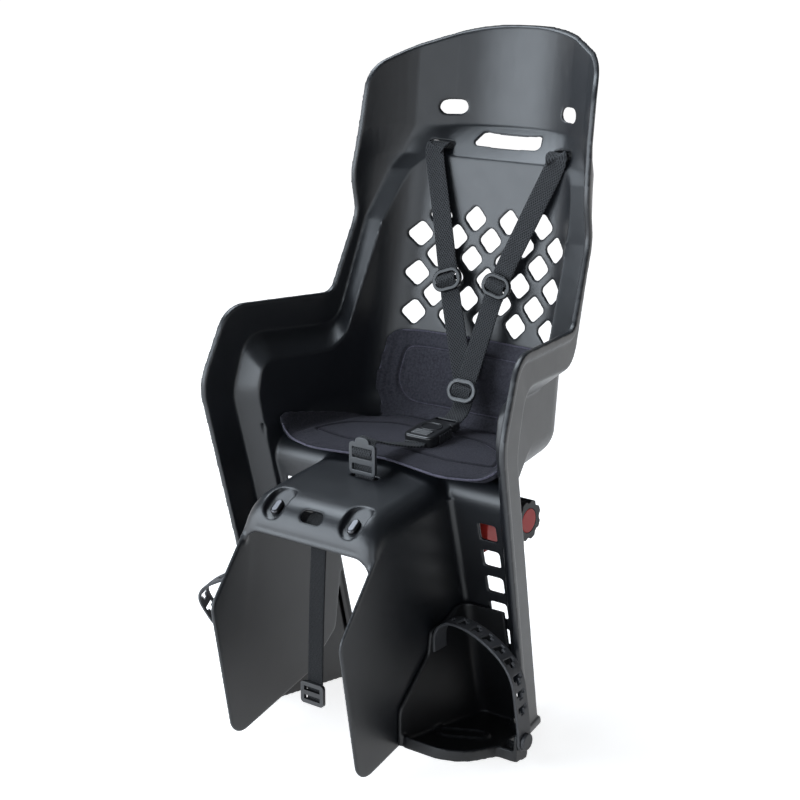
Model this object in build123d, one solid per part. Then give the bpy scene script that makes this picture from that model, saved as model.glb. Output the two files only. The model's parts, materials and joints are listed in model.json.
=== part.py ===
from build123d import *
import os
from math import cos, pi, radians, sin, sqrt, tan

# A rear-carrier child bike seat in millimetres. The origin is the middle of the clamp's
# underside, which rests on the carrier's rails. +X is the child's left, -Y the front, +Z up.

os.makedirs("parts", exist_ok=True)

# Shell: wall and rim
wall = 4.0
rim_thickness = 7.0
rim_width = 9.0

# Shell: side plates, which lean outwards towards the front
wing_half_width = 156.0
wing_corner_y = 33.0
wing_flare = 10.76
bevel_inset = 26.0
bevel_shift = 0.6

# Shell: bucket, pan and back panel
pan_height = 68.0
pan_round = 28.0
bucket_corner = 52.0
bucket_front_y = -125.0
panel_y = 111.0
panel_z = 241.0
panel_recline = 9.3
panel_radius = 663.0
panel_top = 362.0
panel_top_corner = 34.0

# Shell: hood behind the head
hood_radius = 157.0
hood_centre_y = 14.0
hood_rim_angle = 67.7
hood_ledge_angle = 44.4
hood_edge_angle = 28.4
hood_base = 291.0
hood_start = 394.0
hood_top = 515.0
hood_lean = 0.099
hood_front_y = -20.0
crown_height = 508.0
cheek_height = 346.0
cheek_rim_y = 67.0
cheek_ledge = (20.5, 105.0)
cheek_edge = (50.0, 111.0)
cheek_inset = 1.0
cheek_bulge = 4.0
cheek_hollow = 6.0
shelf_rim_y = 69.0
shelf_ledge = (30.0, 117.0)
shelf_edge = (70.0, 126.0)
shelf_inset = 2.0
shelf_bulge = 6.0

# Shell: leg channels
channel_wall_y = -68.5
channel_slope = 0.25
channel_foot = -165.0
guard_foot = -200.0
roll_radius = 24.0
roll_clear = 2.0
gusset_rear_y = -14.0
gusset_foot_y = -56.0
gusset_front_y = -90.0
channel_corner = 12.0

# Shell: nose and inner guards
nose_half_width = 86.0
nose_shoulder = 25.0
nose_lip_y = -208.0
nose_lip_z = 14.0
nose_line = [
    (0, 66),
    (-50, 66),
    (-75, 65),
    (-95, 61),
    (-140, 56),
    (-175, 51),
    (-192, 44.5),
    (-202, 32),
    (nose_lip_y, nose_lip_z),
]

# Shell: openings
lattice_pitch = 44.8
lattice_row = 22.1
lattice_rows = 6
lattice_hole = 21.5
lattice_round = 4.5
mark_width = 1.2
mark_depth = 0.6
oval_x = 50.0
oval_y = -190.0
oval_z = 46.0
oval_width = 26.0
oval_length = 42.0
oval_depth = 8.0
oval_tilt = 35.0
strap_slot_x = 79.0
strap_slot_y = 134.0
strap_slot_z = 374.0
strap_slot_width = 29.0
strap_slot_gap = 11.0
strap_slot_tilt = 50.0
strap_slot_turn = 17.0
shelf_tilt = 40.0
handle_y = 153.0
handle_z = 381.0
handle_width = 88.0
handle_gap = 20.0
head_slot_x = 76.0
head_slot_z = 414.0
head_slot_width = 27.0
head_slot_height = 15.0
crotch_slot_y = -110.0
crotch_slot_width = 34.0
crotch_slot_gap = 7.0
nose_slot_y = -196.0
nose_slot_z = 38.0
nose_slot_width = 28.0
nose_slot_height = 14.0
window_x = 129.0
window_width = 20.0
window_height = 18.0
window_pitch = 31.0
window_top = 23.0
window_count = 5

# Fits: bolts in their holes, sliding pieces beside the shell, and turning shafts
fit = 0.2
slide_gap = 0.4
running_fit = 0.08

# Bolts that hold the clamp under the pan
bolt_radius = 3.0
bolt_head_radius = 6.0
bolt_length = 17.0
bolt_x = 50.0
bolt_front_y = -35.0
bolt_rear_y = 45.0

# Pads
pad_gap = 0.3
pad_thickness = 6.0
seat_pad_half_width = 152.0
seat_pad_lobe_x = 85.0
seat_pad_front_y = -96.0
seat_pad_dip = 18.0
seat_pad_tip = (-64.0, 94.0)
seat_pad_waist = (24.0, 78.0)
seat_pad_waist_x = 128.0
seat_pad_rear_x = 76.0
seat_pad_rear_y = 60.0
pad_parting = 1.5
back_pad_half_width = 117.0
back_pad_taper = 8.0
back_pad_waist = 107.0
back_pad_top = 167.0
back_pad_foot = 68.0

# Harness
webbing_width = 25.0
webbing_thickness = 1.6
left_adjuster = (28.0, 92.0, 230.0)
right_adjuster = (-38.0, 92.0, 229.5)
ring_width = 38.0
ring_height = 26.0
ring_thickness = 4.0
ring_bar = 5.0
joining_ring_spot = (10.0, 50.0, 118.0)
joining_ring_lean = 20.5
anchor_thickness = 2.5
anchor_width = 18.0
strap_anchor_depth = 7.0
crotch_adjuster_z = 79.0
crotch_adjuster_height = 34.0
crotch_window = 11.5
crotch_bar = 6.5
crotch_tab_width = 18.0
crotch_tab_rise = 6.0

# Buckle
buckle_spot = (13.0, -16.0, 84.5)
buckle_lean = 7.0
buckle_width = 38.0
buckle_length = 44.0
buckle_height = 13.0
tongue_length = 16.0
blade_width = 14.0
blade_length = 12.0
blade_height = 3.0
button_y = 4.0
button_length = 22.0
button_height = 8.0
button_depth = 8.0
button_stand = 1.5
button_travel = 2.5

# Nose bolts, safety strap and its bar
nose_bolt_radius = 3.0
nose_bolt_drop = 6.0
nose_head_length = 18.0
nose_head_width = 10.0
nose_head_height = 5.0
bar_width = 14.0
bar_thickness = 2.5
safety_width = 20.0
safety_thickness = 2.0
safety_foot = -168.0
safety_swing = 9.0

# Footrests, straps and pegs
foot_front_y = -168.0
foot_front_z = -195.0
foot_tilt = 8.4
foot_wall = 4.0
foot_lip = 8.0
foot_heel = 16.0
foot_depth = 30.0
foot_toe_x = 158.0
foot_neck = 4.0
rib_x = 117.0
rib_y = -94.0
rib_length = 57.0
rib_width = 27.0
rib_turn = 36.0
rib_height = 2.7
foot_outer_x = 170.0
foot_back_x = 138.0
foot_back_top = -78.0
foot_ear_x = 196.0
foot_ear_y = -92.0
foot_ear_length = 22.0
foot_strap_y = -103.0
foot_strap_z = -101.0
foot_strap_width = 22.0
foot_strap_thickness = 3.0
foot_peg_y = -103.0
foot_peg_z = -186.0
peg_radius = 3.0
peg_head = 9.0

# Carrier clamp
clamp_half_width = 78.0
clamp_front_y = -50.0
clamp_rear_y = 60.0
clamp_wall = 6.0
clamp_web = 8.0
rail_inset = 3.0
rail_x = clamp_half_width - rail_inset
rail_radius = 6.0
rail_z = -rail_radius
lining_thickness = 1.5
jaw_foot = 8.0
jaw_reach = 3.0
jaw_clear = 14.0
jaw_lug = 19.0
jaw_top = 34.0
jaw_length = 50.0
jaw_travel = 14.0
screw_y = -20.0
screw_z = 16.0
screw_radius = 4.0
pin_radius = 4.0
pin_spread = 34.0
pin_inner_x = 40.0
knob_radius = 22.0
knob_length = 18.0
knob_lobes = 8
face_radius = 13.0
face_depth = 3.0

flare = radians(wing_flare)
recline = tan(radians(panel_recline))
far = 400.0
pin_places = (screw_y - pin_spread / 2, screw_y + pin_spread / 2)
knob_x = clamp_half_width + jaw_clear + jaw_lug + jaw_travel + 3
knob_place = Plane(origin=(knob_x, screw_y, screw_z), x_dir=(0, 1, 0), z_dir=(1, 0, 0))
buckle_place = Plane(
    origin=buckle_spot,
    x_dir=(1, 0, 0),
    z_dir=(0, -sin(radians(buckle_lean)), cos(radians(buckle_lean))),
)
joining_ring_place = Plane(
    origin=joining_ring_spot,
    x_dir=(1, 0, 0),
    z_dir=(0, -cos(radians(joining_ring_lean)), sin(radians(joining_ring_lean))),
)


def outline(corners):
    """Closed face in a drawing plane, with each (a, b, radius) corner rounded by an arc."""
    marks = []
    for index, (a, b, radius) in enumerate(corners):
        corner = Vector(a, b)
        before = Vector(*corners[index - 1][:2]) - corner
        after = Vector(*corners[(index + 1) % len(corners)][:2]) - corner
        before = before.normalized()
        after = after.normalized()
        half = radians(before.get_angle(after) / 2)
        reach = radius / tan(half)
        inward = (before + after).normalized() * (radius / sin(half) - radius)
        marks.append((corner + before * reach, corner + inward, corner + after * reach, radius))
    edges = []
    for index, (start, middle, end, radius) in enumerate(marks):
        if radius > 0:
            edges.append(ThreePointArc(start, middle, end))
        edges.append(Line(end, marks[(index + 1) % len(marks)][0]))
    return make_face(edges)


def side_prism(corners, half_width):
    """Side-view (y, z, radius) outline extruded both ways along X."""
    return extrude(Plane.YZ * outline(corners), half_width, both=True)


def mirrored(shape):
    """The same shape on the other side of the seat."""
    return mirror(shape, about=Plane.YZ)


def both_sides(shape):
    return shape + mirrored(shape)


# Side plates

wing_back = Vector(-sin(flare), cos(flare), 0)
wing_out = Vector(cos(flare), sin(flare), 0)
wing_plane = Plane(
    origin=(wing_half_width, wing_corner_y, 0), x_dir=wing_back, z_dir=wing_out
)

rim_line = [
    (-74, guard_foot, 14),
    (-150, 134, 60),
    (-112, 217, 35),
    (33, 211, 15),
    (71, 298, 40),
    (63, 340, 70),
    (86, 458, 45),
    (190, crown_height, 60),
    (300, crown_height, 0),
    (300, guard_foot, 0),
]
bevel_outer = [
    (-far, -260, 0),
    (-25, -260, 0),
    (-110, 118, 60),
    (-90, 182, 28),
    (37, 174, 30),
    (80, hood_base, 0),
    (-far, hood_base, 0),
]
bevel_inner = [
    (-far, -260, 0),
    (-15, -260, 0),
    (-95, 120, 40),
    (-88, 157, 18),
    (22, 152, 40),
    (84, hood_base, 0),
    (-far, hood_base, 0),
]


def wing_face(corners, inset):
    """Outline given by (y, z, radius), drawn on the side plate's plane."""
    drawn = [((y - wing_corner_y) / cos(flare), z, radius) for y, z, radius in corners]
    return wing_plane.offset(-inset) * outline(drawn)


def wing_room(grow):
    """Room inside one side plate, in front of its bevel; growing it gives the outside."""
    room = loft([wing_face(bevel_outer, 0), wing_face(bevel_inner, bevel_inset)], ruled=True)
    shift = wing_out * grow + wing_back * (bevel_shift * grow) - Vector(0, 0, bevel_shift * grow)
    return Pos(*shift) * room


# Bucket


def plate_half_width(y):
    """Inner face of a side plate, which leans outwards towards the front."""
    return wing_half_width + (wing_corner_y - y) * tan(flare)


def bucket_half_width(y, grow):
    return plate_half_width(y) - (bevel_inset - grow) / cos(flare)


def panel_front(z):
    """The back panel's front face on the middle plane."""
    return panel_y + (z - panel_z) * recline


def bucket_plan(z, grow):
    """The bucket's plan at one height: straight sides, hollow back, rounded corners."""
    rear = panel_front(z) + grow
    width = bucket_half_width(rear, grow)
    edge_y = rear - width * width / (2 * panel_radius)
    width = bucket_half_width(edge_y, grow)
    front = bucket_half_width(bucket_front_y, grow)
    edges = [
        Line((-front, bucket_front_y), (front, bucket_front_y)),
        Line((front, bucket_front_y), (width, edge_y)),
        ThreePointArc((width, edge_y), (0, rear), (-width, edge_y)),
        Line((-width, edge_y), (-front, bucket_front_y)),
    ]
    face = make_face(edges)
    corners = face.vertices().sort_by(Axis.Y)[-2:]
    return Pos(0, 0, z) * fillet(corners, bucket_corner + grow)


def bucket(grow):
    """Room of the bucket; growing it gives the outside, shrinking it a lining."""
    body = loft([bucket_plan(pan_height - grow, grow), bucket_plan(panel_top, grow)], ruled=True)
    floor = body.faces().sort_by(Axis.Z)[0]
    rim_edges = floor.edges().sort_by(Axis.Y)[1:]
    body = fillet(rim_edges, pan_round + grow)
    round_top = panel_top_corner + grow
    width = bucket_half_width(panel_front(panel_top), grow)
    square = Pos(width - round_top / 2 + 10, panel_top - round_top / 2 + 10) * Rectangle(
        round_top + 20, round_top + 20
    )
    disc = Pos(width - round_top, panel_top - round_top) * Circle(round_top)
    slot = Pos(width - round_top, panel_top - round_top - 20) * Rectangle(2 * round_top, 40)
    spare = extrude(Plane.XZ.offset(-60) * (square - disc - slot), -120)
    return body - both_sides(spare)


# Hood


def hood_plan(z, rim, ledge, edge, centre, bulge):
    """Plan of the head room at one height, from the rim round the back to the other rim."""
    rim_x, rim_y = rim
    ledge_x, ledge_y = ledge
    edge_x, edge_y = edge
    front_x = rim_x + (rim_y - hood_front_y) * tan(flare)
    run = Vector(ledge_x - rim_x, ledge_y - rim_y)
    out = Vector(run.Y, -run.X).normalized() * bulge
    middle = Vector((rim_x + ledge_x) / 2, (rim_y + ledge_y) / 2) + out
    right = [
        Line((front_x, hood_front_y), (rim_x, rim_y)),
        ThreePointArc((rim_x, rim_y), middle, (ledge_x, ledge_y)),
        Line((ledge_x, ledge_y), (edge_x, edge_y)),
    ]
    left = [
        Line((-edge_x, edge_y), (-ledge_x, ledge_y)),
        ThreePointArc((-ledge_x, ledge_y), (-middle.X, middle.Y), (-rim_x, rim_y)),
        Line((-rim_x, rim_y), (-front_x, hood_front_y)),
    ]
    back = ThreePointArc((edge_x, edge_y), (0, centre), (-edge_x, edge_y))
    front = Line((-front_x, hood_front_y), (front_x, hood_front_y))
    return Pos(0, 0, z) * make_face(right + [back] + left + [front])


def hood_section(z, rim, ledge, edge, centre, bulge, grow):
    """Head room at one height; growing it gives the outside."""
    rim = (rim[0] + grow, rim[1])
    ledge = (ledge[0] + 0.6 * grow, ledge[1] + 0.8 * grow)
    edge = (edge[0] + 0.2 * grow, edge[1] + grow)
    return hood_plan(z, rim, ledge, edge, centre + grow, bulge)


def hood_base_section(grow):
    """Head room where it takes over from the side plates and their bevels."""
    rise = bevel_shift * grow

    def on_plate(y, inset):
        along = (y - wing_corner_y) / cos(flare)
        corner = Vector(wing_half_width, wing_corner_y)
        return corner + wing_out * (grow - inset) + wing_back * (along + rise)

    ledge = on_plate(bevel_outer[-2][0], 0)
    edge = on_plate(bevel_inner[-2][0], bevel_inset)
    rim = ledge - wing_back * 10
    sag = 0.2
    points = ((rim.X, rim.Y), (ledge.X, ledge.Y), (edge.X, edge.Y))
    return hood_plan(hood_base - rise, *points, edge.Y + 2, sag)


def hood_circle(z, grow):
    """Plan of the head room where it is a plain round hood."""
    centre = hood_centre_y + (z - hood_start) * hood_lean

    def on_circle(angle):
        turn = radians(angle)
        return (hood_radius * sin(turn), centre + hood_radius * cos(turn))

    rim = on_circle(hood_rim_angle)
    ledge = on_circle(hood_ledge_angle)
    edge = on_circle(hood_edge_angle)
    middle = Vector((rim[0] + ledge[0]) / 2, (rim[1] + ledge[1]) / 2 - centre)
    bulge = hood_radius - middle.length
    return hood_section(z, rim, ledge, edge, centre + hood_radius, bulge, grow)


def hood(grow):
    """Room for the head: side bevels, shelf above the panel and the round hood."""
    cheek = plate_half_width(cheek_rim_y)
    shelf = plate_half_width(shelf_rim_y)
    cheek_points = [
        (cheek - cheek_inset, cheek_rim_y),
        (cheek - cheek_ledge[0], cheek_ledge[1]),
        (cheek - cheek_edge[0], cheek_edge[1]),
    ]
    shelf_points = [
        (shelf - shelf_inset, shelf_rim_y),
        (shelf - shelf_ledge[0], shelf_ledge[1]),
        (shelf - shelf_edge[0], shelf_edge[1]),
    ]
    sections = [
        hood_base_section(grow),
        hood_section(cheek_height, *cheek_points, cheek_edge[1] + cheek_hollow, cheek_bulge, grow),
        hood_section(panel_top, *shelf_points, panel_front(panel_top), shelf_bulge, grow),
        hood_circle(hood_start, grow),
        hood_circle(hood_top, grow),
    ]
    return loft(sections, ruled=True)


# Leg channels


def channel_face(y, z):
    """The channel's back wall leans back towards the foot."""
    return channel_wall_y - channel_slope * z + y


def channel_room(grow):
    """Room of the leg channels in front of their back wall, under the pan's rolled edge."""
    foot = channel_foot if grow > 0 else -260
    roll = roll_radius - grow
    top = pan_height - grow
    head = pan_height + pan_round + max(grow, roll_clear)
    corners = [
        (-300, foot, 0),
        (channel_face(grow, foot), foot, 0),
        (channel_face(grow, top), top, roll),
        (gusset_foot_y + 2 * grow, top, 0),
        (gusset_rear_y + 2 * grow, head, 0),
    ]
    if grow > 0:
        corners += [(gusset_front_y, head, 0), (gusset_front_y, top + roll_clear, 0)]
        corners += [(-300, top + roll_clear, 0)]
    else:
        corners += [(-300, head, 0)]
    front = bucket_half_width(-320, grow)
    rear = bucket_half_width(100, grow)
    wedge = make_face(Polyline((-front, -320), (front, -320), (rear, 100), (-rear, 100), close=True))
    return side_prism(corners, far) & extrude(Pos(0, 0, -280) * wedge, 420)


def channel_fillet():
    """Rounded inner corner between one channel's back wall and the inner guard."""
    sections = []
    for z in (channel_foot, pan_height - roll_radius):
        back = channel_face(0.5 * wall, z)
        side = nose_half_width - 0.5 * wall
        radius = channel_corner + 0.5 * wall
        middle = radius * (1 - sqrt(0.5))
        arc = ThreePointArc(
            (side + radius, back), (side + middle, back - middle), (side, back - radius)
        )
        straight = Polyline((side, back - radius), (side, back), (side + radius, back))
        sections.append(Pos(0, 0, z) * make_face([arc, straight]))
    return loft(sections, ruled=True)


# Nose and inner guards


def nose_tunnel(grow):
    """Arched cover over the tunnel: width and shoulders constant, top following the nose line."""
    half = nose_half_width + grow
    shoulder = nose_shoulder + grow
    sections = []
    for y, top in nose_line:
        top += 0.75 * grow
        corners = [
            (-half, -280, 0),
            (half, -280, 0),
            (half, top, shoulder),
            (-half, top, shoulder),
        ]
        station = y - 0.75 * grow
        sections.append(Plane.XZ.offset(-station) * outline(corners))
    return loft(sections, ruled=False)


guard_front = (-259, -59, 22)
guard_tip = (-231, -219, 20)
guard_rear = [(-107, -187, 12), (-59, -149, 12), (-48, -70, 0), (-60, 20, 0)]
guard_line = [(-60, 90, 0), (-240, 90, 0), (nose_lip_y + 2, nose_lip_z + 4, 0)]
guard_line += [guard_front, guard_tip] + guard_rear
plate_line = [(nose_lip_y + 6, nose_lip_z, 0), guard_front, guard_tip] + guard_rear


def nose(hollow):
    """Nose cover with the two inner guards that hang from it."""
    inside = nose_half_width - wall
    cover = (nose_tunnel(0) - hollow) & side_prism(guard_line, far)
    mouth = [
        (-inside, -280, 0),
        (inside, -280, 0),
        (inside, nose_lip_z - 2, nose_shoulder - wall),
        (-inside, nose_lip_z - 2, nose_shoulder - wall),
    ]
    cover -= extrude(Plane.XZ.offset(-nose_lip_y - 40) * outline(mouth), 80)
    plate = extrude(Plane.YZ.offset(inside) * outline(plate_line), wall)
    return cover + both_sides(plate)


def oval_place(side):
    """Drawing plane of one oval recess, square to the nose's front slope."""
    tilt = radians(oval_tilt)
    place = (side * oval_x, oval_y, oval_z)
    return Plane(origin=place, x_dir=(1, 0, 0), z_dir=(0, -sin(tilt), cos(tilt)))


def bolt_place(side):
    """Drawing plane of one nose bolt, in the lower half of its oval."""
    oval = oval_place(side)
    place = oval.origin - oval.y_dir * nose_bolt_drop
    return Plane(origin=place, x_dir=oval.x_dir, z_dir=oval.z_dir)


def oval_pocket(side, grow):
    """Sunk oval in the nose; growing it gives the boss around it."""
    face = SlotOverall(oval_length + 2 * grow, oval_width + 2 * grow, rotation=90)
    return extrude(oval_place(side).offset(-oval_depth - grow) * face, 3 * oval_depth)


def strap_slot_place(side):
    """Drawing plane of one shoulder strap slot, on the shelf above the panel."""
    tilt = radians(strap_slot_tilt)
    turn = radians(strap_slot_turn) * side
    facing = (-sin(tilt) * sin(turn), -sin(tilt) * cos(turn), cos(tilt))
    place = (side * strap_slot_x, strap_slot_y, strap_slot_z)
    return Plane(origin=place, x_dir=(cos(turn), -sin(turn), 0), z_dir=facing)


def handle_slot():
    """Carrying slot in the middle of the shelf, a little narrower towards the back."""
    tilt = radians(shelf_tilt)
    half = handle_width / 2
    corners = [
        (-half, -handle_gap / 2, handle_gap / 4),
        (half, -handle_gap / 2, handle_gap / 4),
        (half - handle_gap / 3, handle_gap / 2, handle_gap / 4),
        (handle_gap / 3 - half, handle_gap / 2, handle_gap / 4),
    ]
    place = Plane(origin=(0, handle_y, handle_z), x_dir=(1, 0, 0), z_dir=(0, -sin(tilt), cos(tilt)))
    return extrude(place * outline(corners), handle_gap, both=True)


def diamond():
    return RectangleRounded(lattice_hole, lattice_hole, lattice_round, rotation=45)


def diamond_row(row, count, face):
    """One row across the back panel, counted downwards from the lattice's top row."""
    z = panel_z + ((lattice_rows - 1) / 2 - row) * lattice_row
    return [Pos((step - (count - 1) / 2) * lattice_pitch, z) * face for step in range(count)]


def through_panel(faces):
    return extrude(Plane.XZ.offset(-panel_y) * faces, panel_y / 3, both=True)


def lattice():
    """Rows of rounded diamonds, four and five in turn, through the back panel."""
    holes = Sketch()
    for row in range(lattice_rows):
        holes += diamond_row(row, 4 if row % 2 == 0 else 5, diamond())
    return through_panel(holes)


def faint_diamonds():
    """Shallow outlines above the lattice, fewer in each row upwards."""
    mark = diamond() - offset(diamond(), amount=-mark_width)
    marks = Sketch() + diamond_row(-1, 3, mark) + diamond_row(-2, 2, mark)
    return through_panel(marks) & bucket(mark_depth)


def head_slot(side):
    face = SlotOverall(head_slot_width, head_slot_height)
    place = Plane.XZ.offset(-hood_centre_y - hood_radius) * Pos(side * head_slot_x, head_slot_z)
    return extrude(place * face, hood_radius / 2, both=True)


def ladder(side):
    """Column of windows in one channel's back wall, for the footrest's catch."""
    windows = []
    for step in range(window_count):
        z = window_top - window_height / 2 - step * window_pitch
        y = channel_face(wall / 2, z)
        windows.append(Pos(side * window_x, y, z) * Box(window_width, 4 * wall, window_height))
    return windows


def bolt_places():
    """The four bolts that hold the clamp under the pan."""
    return [(x, y) for x in (-bolt_x, bolt_x) for y in (bolt_front_y, bolt_rear_y)]


def bolt_sink(clearance):
    """Countersunk bolt with its head flush with the pan; clearance makes its hole."""
    head = bolt_head_radius + clearance
    shank = bolt_radius + clearance
    depth = bolt_length
    points = [(0, 0), (head, 0), (shank, shank - head), (shank, -depth), (0, -depth)]
    return revolve(Plane.XZ * make_face(Polyline(*points, close=True)), Axis.Z)


def shell_cuts():
    """Everything that is cut through the moulding."""
    cuts = [lattice(), faint_diamonds(), handle_slot()]
    crotch = SlotOverall(crotch_slot_width, crotch_slot_gap)
    cuts.append(extrude(Pos(0, crotch_slot_y, pan_height / 2) * crotch, pan_height))
    nose_slot = SlotOverall(nose_slot_width, nose_slot_height)
    nose_place = Plane(
        origin=(0, nose_slot_y, nose_slot_z), x_dir=(1, 0, 0), z_dir=(0, -sin(pi / 4), cos(pi / 4))
    )
    cuts.append(extrude(nose_place * nose_slot, 3 * wall, both=True))
    for side in (-1, 1):
        strap = SlotOverall(strap_slot_width, strap_slot_gap)
        cuts.append(extrude(strap_slot_place(side) * strap, 3 * wall, both=True))
        cuts.append(head_slot(side))
        cuts.append(oval_pocket(side, 0))
        cuts.append(extrude(bolt_place(side) * Circle(nose_bolt_radius + fit), -oval_length))
        cuts += ladder(side)
    for x, y in bolt_places():
        cuts.append(Pos(x, y, pan_height) * bolt_sink(fit))
    return cuts


def shell():
    """The whole seat moulding."""
    room = bucket(0) + both_sides(wing_room(0)) + hood(0) + channel_room(0)
    outside = bucket(wall) + both_sides(wing_room(wall)) + hood(wall) + channel_room(wall)
    trim = outline(rim_line)
    body = (outside - room) & extrude(Plane.YZ * trim, far, both=True)
    band = trim - offset(trim, amount=-rim_width)
    rim = both_sides(wing_room(rim_thickness)) + hood(rim_thickness)
    rim = (rim & extrude(Plane.YZ * band, far, both=True)) - room
    hollow = nose_tunnel(-wall)
    body = body + rim - hollow + both_sides(channel_fillet()) + nose(hollow)
    for side in (-1, 1):
        body += oval_pocket(side, wall) & nose_tunnel(0)
    return body - shell_cuts()


# Pads


def lining():
    """Even layer on the bucket's inside."""
    return bucket(-pad_gap) - bucket(-pad_gap - pad_thickness)


def seat_pad_plan():
    """Plan of the seat pad, with a dip in its front edge and cut rear corners."""
    side_y = seat_pad_front_y + 22
    right = [
        (0, seat_pad_front_y + seat_pad_dip, 90),
        (seat_pad_lobe_x, seat_pad_front_y, 50),
        (seat_pad_half_width, side_y, 8),
        (seat_pad_waist_x, seat_pad_waist[0] - 14, 50),
        (seat_pad_rear_x, seat_pad_rear_y, 40),
    ]
    left = [(-x, y, radius) for x, y, radius in reversed(right[1:])]
    return outline(right + left)


def seat_pad(layer):
    """Pad on the pan, which climbs the side walls towards the front."""
    side_view = [
        (bucket_front_y, 0, 0),
        (bucket_front_y, seat_pad_waist[1], 0),
        (*seat_pad_tip, 16),
        (*seat_pad_waist, 30),
        (far, seat_pad_waist[1], 0),
        (far, 0, 0),
    ]
    return layer & extrude(seat_pad_plan(), 2 * pan_height) & side_prism(side_view, far)


def back_pad(layer):
    """Pad on the lower back, which stops short of the seat pad."""
    half = back_pad_half_width
    top_x = half - back_pad_taper
    right = [
        (top_x, back_pad_top, 14),
        (half, back_pad_waist, 60),
        (top_x, back_pad_foot, 32),
    ]
    left = [(-x, z, radius) for x, z, radius in reversed(right)]
    body = layer & extrude(Plane.XZ * outline(right + left), -far)
    return body - extrude(offset(seat_pad_plan(), amount=pad_parting), far)


# Harness


def ribbon(stations, width, thickness):
    """Flat webbing through stations of a point and the side that faces outwards."""
    points = [Vector(*point) for point, outward in stations]
    last = len(points) - 1
    sections = []
    for index, (point, outward) in enumerate(stations):
        along = points[min(index + 1, last)] - points[max(index - 1, 0)]
        across = along.cross(Vector(*outward))
        plane = Plane(origin=point, x_dir=across, z_dir=along)
        sections.append(plane * Rectangle(width, thickness))
    return Part() + [loft(pair, ruled=True) for pair in zip(sections, sections[1:])]


def ring_layer(number):
    """Middle of one of the webbing layers that lie behind the joining ring."""
    depth = ring_thickness / 2 + pad_gap + webbing_thickness / 2
    depth += number * (webbing_thickness + 2 * pad_gap)
    return joining_ring_place.origin - joining_ring_place.z_dir * depth


def shoulder_strap(side, adjuster):
    """From its anchor behind the shelf, through the slot and down to the joining ring."""
    slot = strap_slot_place(side)

    def near_slot(up, through):
        return slot.origin + slot.y_dir * up + slot.z_dir * through

    x = side * strap_slot_x
    front = panel_front(panel_top) - 10
    end = ring_layer(0 if side > 0 else 1)
    run = Vector(*adjuster) - end
    run -= joining_ring_place.z_dir * run.dot(joining_ring_place.z_dir)
    run = run.normalized() * ring_height
    stations = [
        (near_slot(0, -16), slot.y_dir),
        (near_slot(0, -2), slot.y_dir),
        (near_slot(-2, 5), (0, -0.3, 1)),
        ((x, front + 2, panel_top + 11), (0, -0.8, 0.6)),
        ((x, front, panel_top), (0, -1, 0.1)),
        ((0.45 * x + 0.7 * adjuster[0], adjuster[1] + 18, adjuster[2] + 75), (0, -1, 0.2)),
        (adjuster, (0, -1, 0.3)),
        (end + run, (0, -1, 0.5)),
        (end, joining_ring_place.z_dir),
    ]
    return ribbon(stations, webbing_width, webbing_thickness)


def ring(width, height, thickness, bar):
    """Oblong ring, or an adjuster where a middle bar is given."""
    body = SlotOverall(width, height) - SlotOverall(width - 2 * ring_bar, height - 2 * ring_bar)
    if bar > 0:
        body += Rectangle(width - ring_bar, bar)
    return fillet(extrude(body, thickness).edges().group_by(Axis.Z)[-1], thickness / 4)


def strap_adjuster(side, adjuster):
    """Adjuster lying on the front of its shoulder strap."""
    top = Vector(0.45 * side * strap_slot_x + 0.7 * adjuster[0], adjuster[1] + 18, adjuster[2] + 75)
    foot = joining_ring_place.origin
    up = (top - foot).normalized()
    facing = Vector(1, 0, 0).cross(up).normalized()
    across = up.cross(facing)
    lift = webbing_thickness / 2 + 4 * pad_gap
    place = Plane(origin=Vector(*adjuster) + facing * lift, x_dir=across, z_dir=facing)
    return place * ring(ring_width, ring_height, ring_thickness, ring_bar)


def joining_ring():
    return joining_ring_place * Pos(0, 0, -ring_thickness / 2) * ring(
        ring_width, ring_height, ring_thickness, 0
    )


def joined_strap():
    """Short strap between the joining ring and the buckle's tongue."""
    start = ring_layer(2)
    tongue_end = buckle_length / 2 + tongue_length + 2 * pad_gap
    end = buckle_place.from_local_coords((0, tongue_end, 0))
    before_end = buckle_place.from_local_coords((0, tongue_end + ring_bar, 0))
    stations = [
        (start, joining_ring_place.z_dir),
        (start - joining_ring_place.y_dir * ring_height / 2, joining_ring_place.z_dir),
        (before_end, (0, -0.3, 1)),
        (end, buckle_place.z_dir),
    ]
    return ribbon(stations, webbing_width, webbing_thickness)


def rounded_block(width, length, height, radius):
    block = extrude(RectangleRounded(width, length, radius), height / 2, both=True)
    return fillet(block.edges().filter_by(Plane.XY), height / 5)


def buckle_tongue():
    """Tongue with a strap bar outside the housing and a blade inside it."""
    middle = (buckle_length + tongue_length) / 2 + pad_gap
    body = Pos(0, middle, 0) * rounded_block(
        buckle_width - 4, tongue_length - pad_gap, buckle_height - 4, 5
    )
    body -= Pos(0, middle + tongue_length / 5, 0) * Box(webbing_width + 1, 5, buckle_height)
    blade_end = buckle_length / 2 + tongue_length / 3
    blade = Box(blade_width, blade_length + tongue_length / 3, blade_height)
    body += Pos(0, (blade_end + buckle_length / 2 - blade_length) / 2, 0) * blade
    return buckle_place * body


def button_room(side, clearance):
    """Space of one side button, with its travel where clearance is given."""
    depth = button_depth + (button_travel + clearance if clearance > 0 else 0)
    middle = buckle_width / 2 + button_stand - depth / 2
    return Pos(side * middle, button_y, 0) * Box(
        depth, button_length + 2 * clearance, button_height + 2 * clearance
    )


def buckle_housing():
    body = rounded_block(buckle_width, buckle_length, buckle_height, 8)
    slot = Box(blade_width + 2 * pad_gap, 2 * blade_length + 4 * pad_gap, blade_height + 2 * pad_gap)
    body -= Pos(0, buckle_length / 2, 0) * slot
    for side in (-1, 1):
        body -= button_room(side, pad_gap)
    return buckle_place * body


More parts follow.
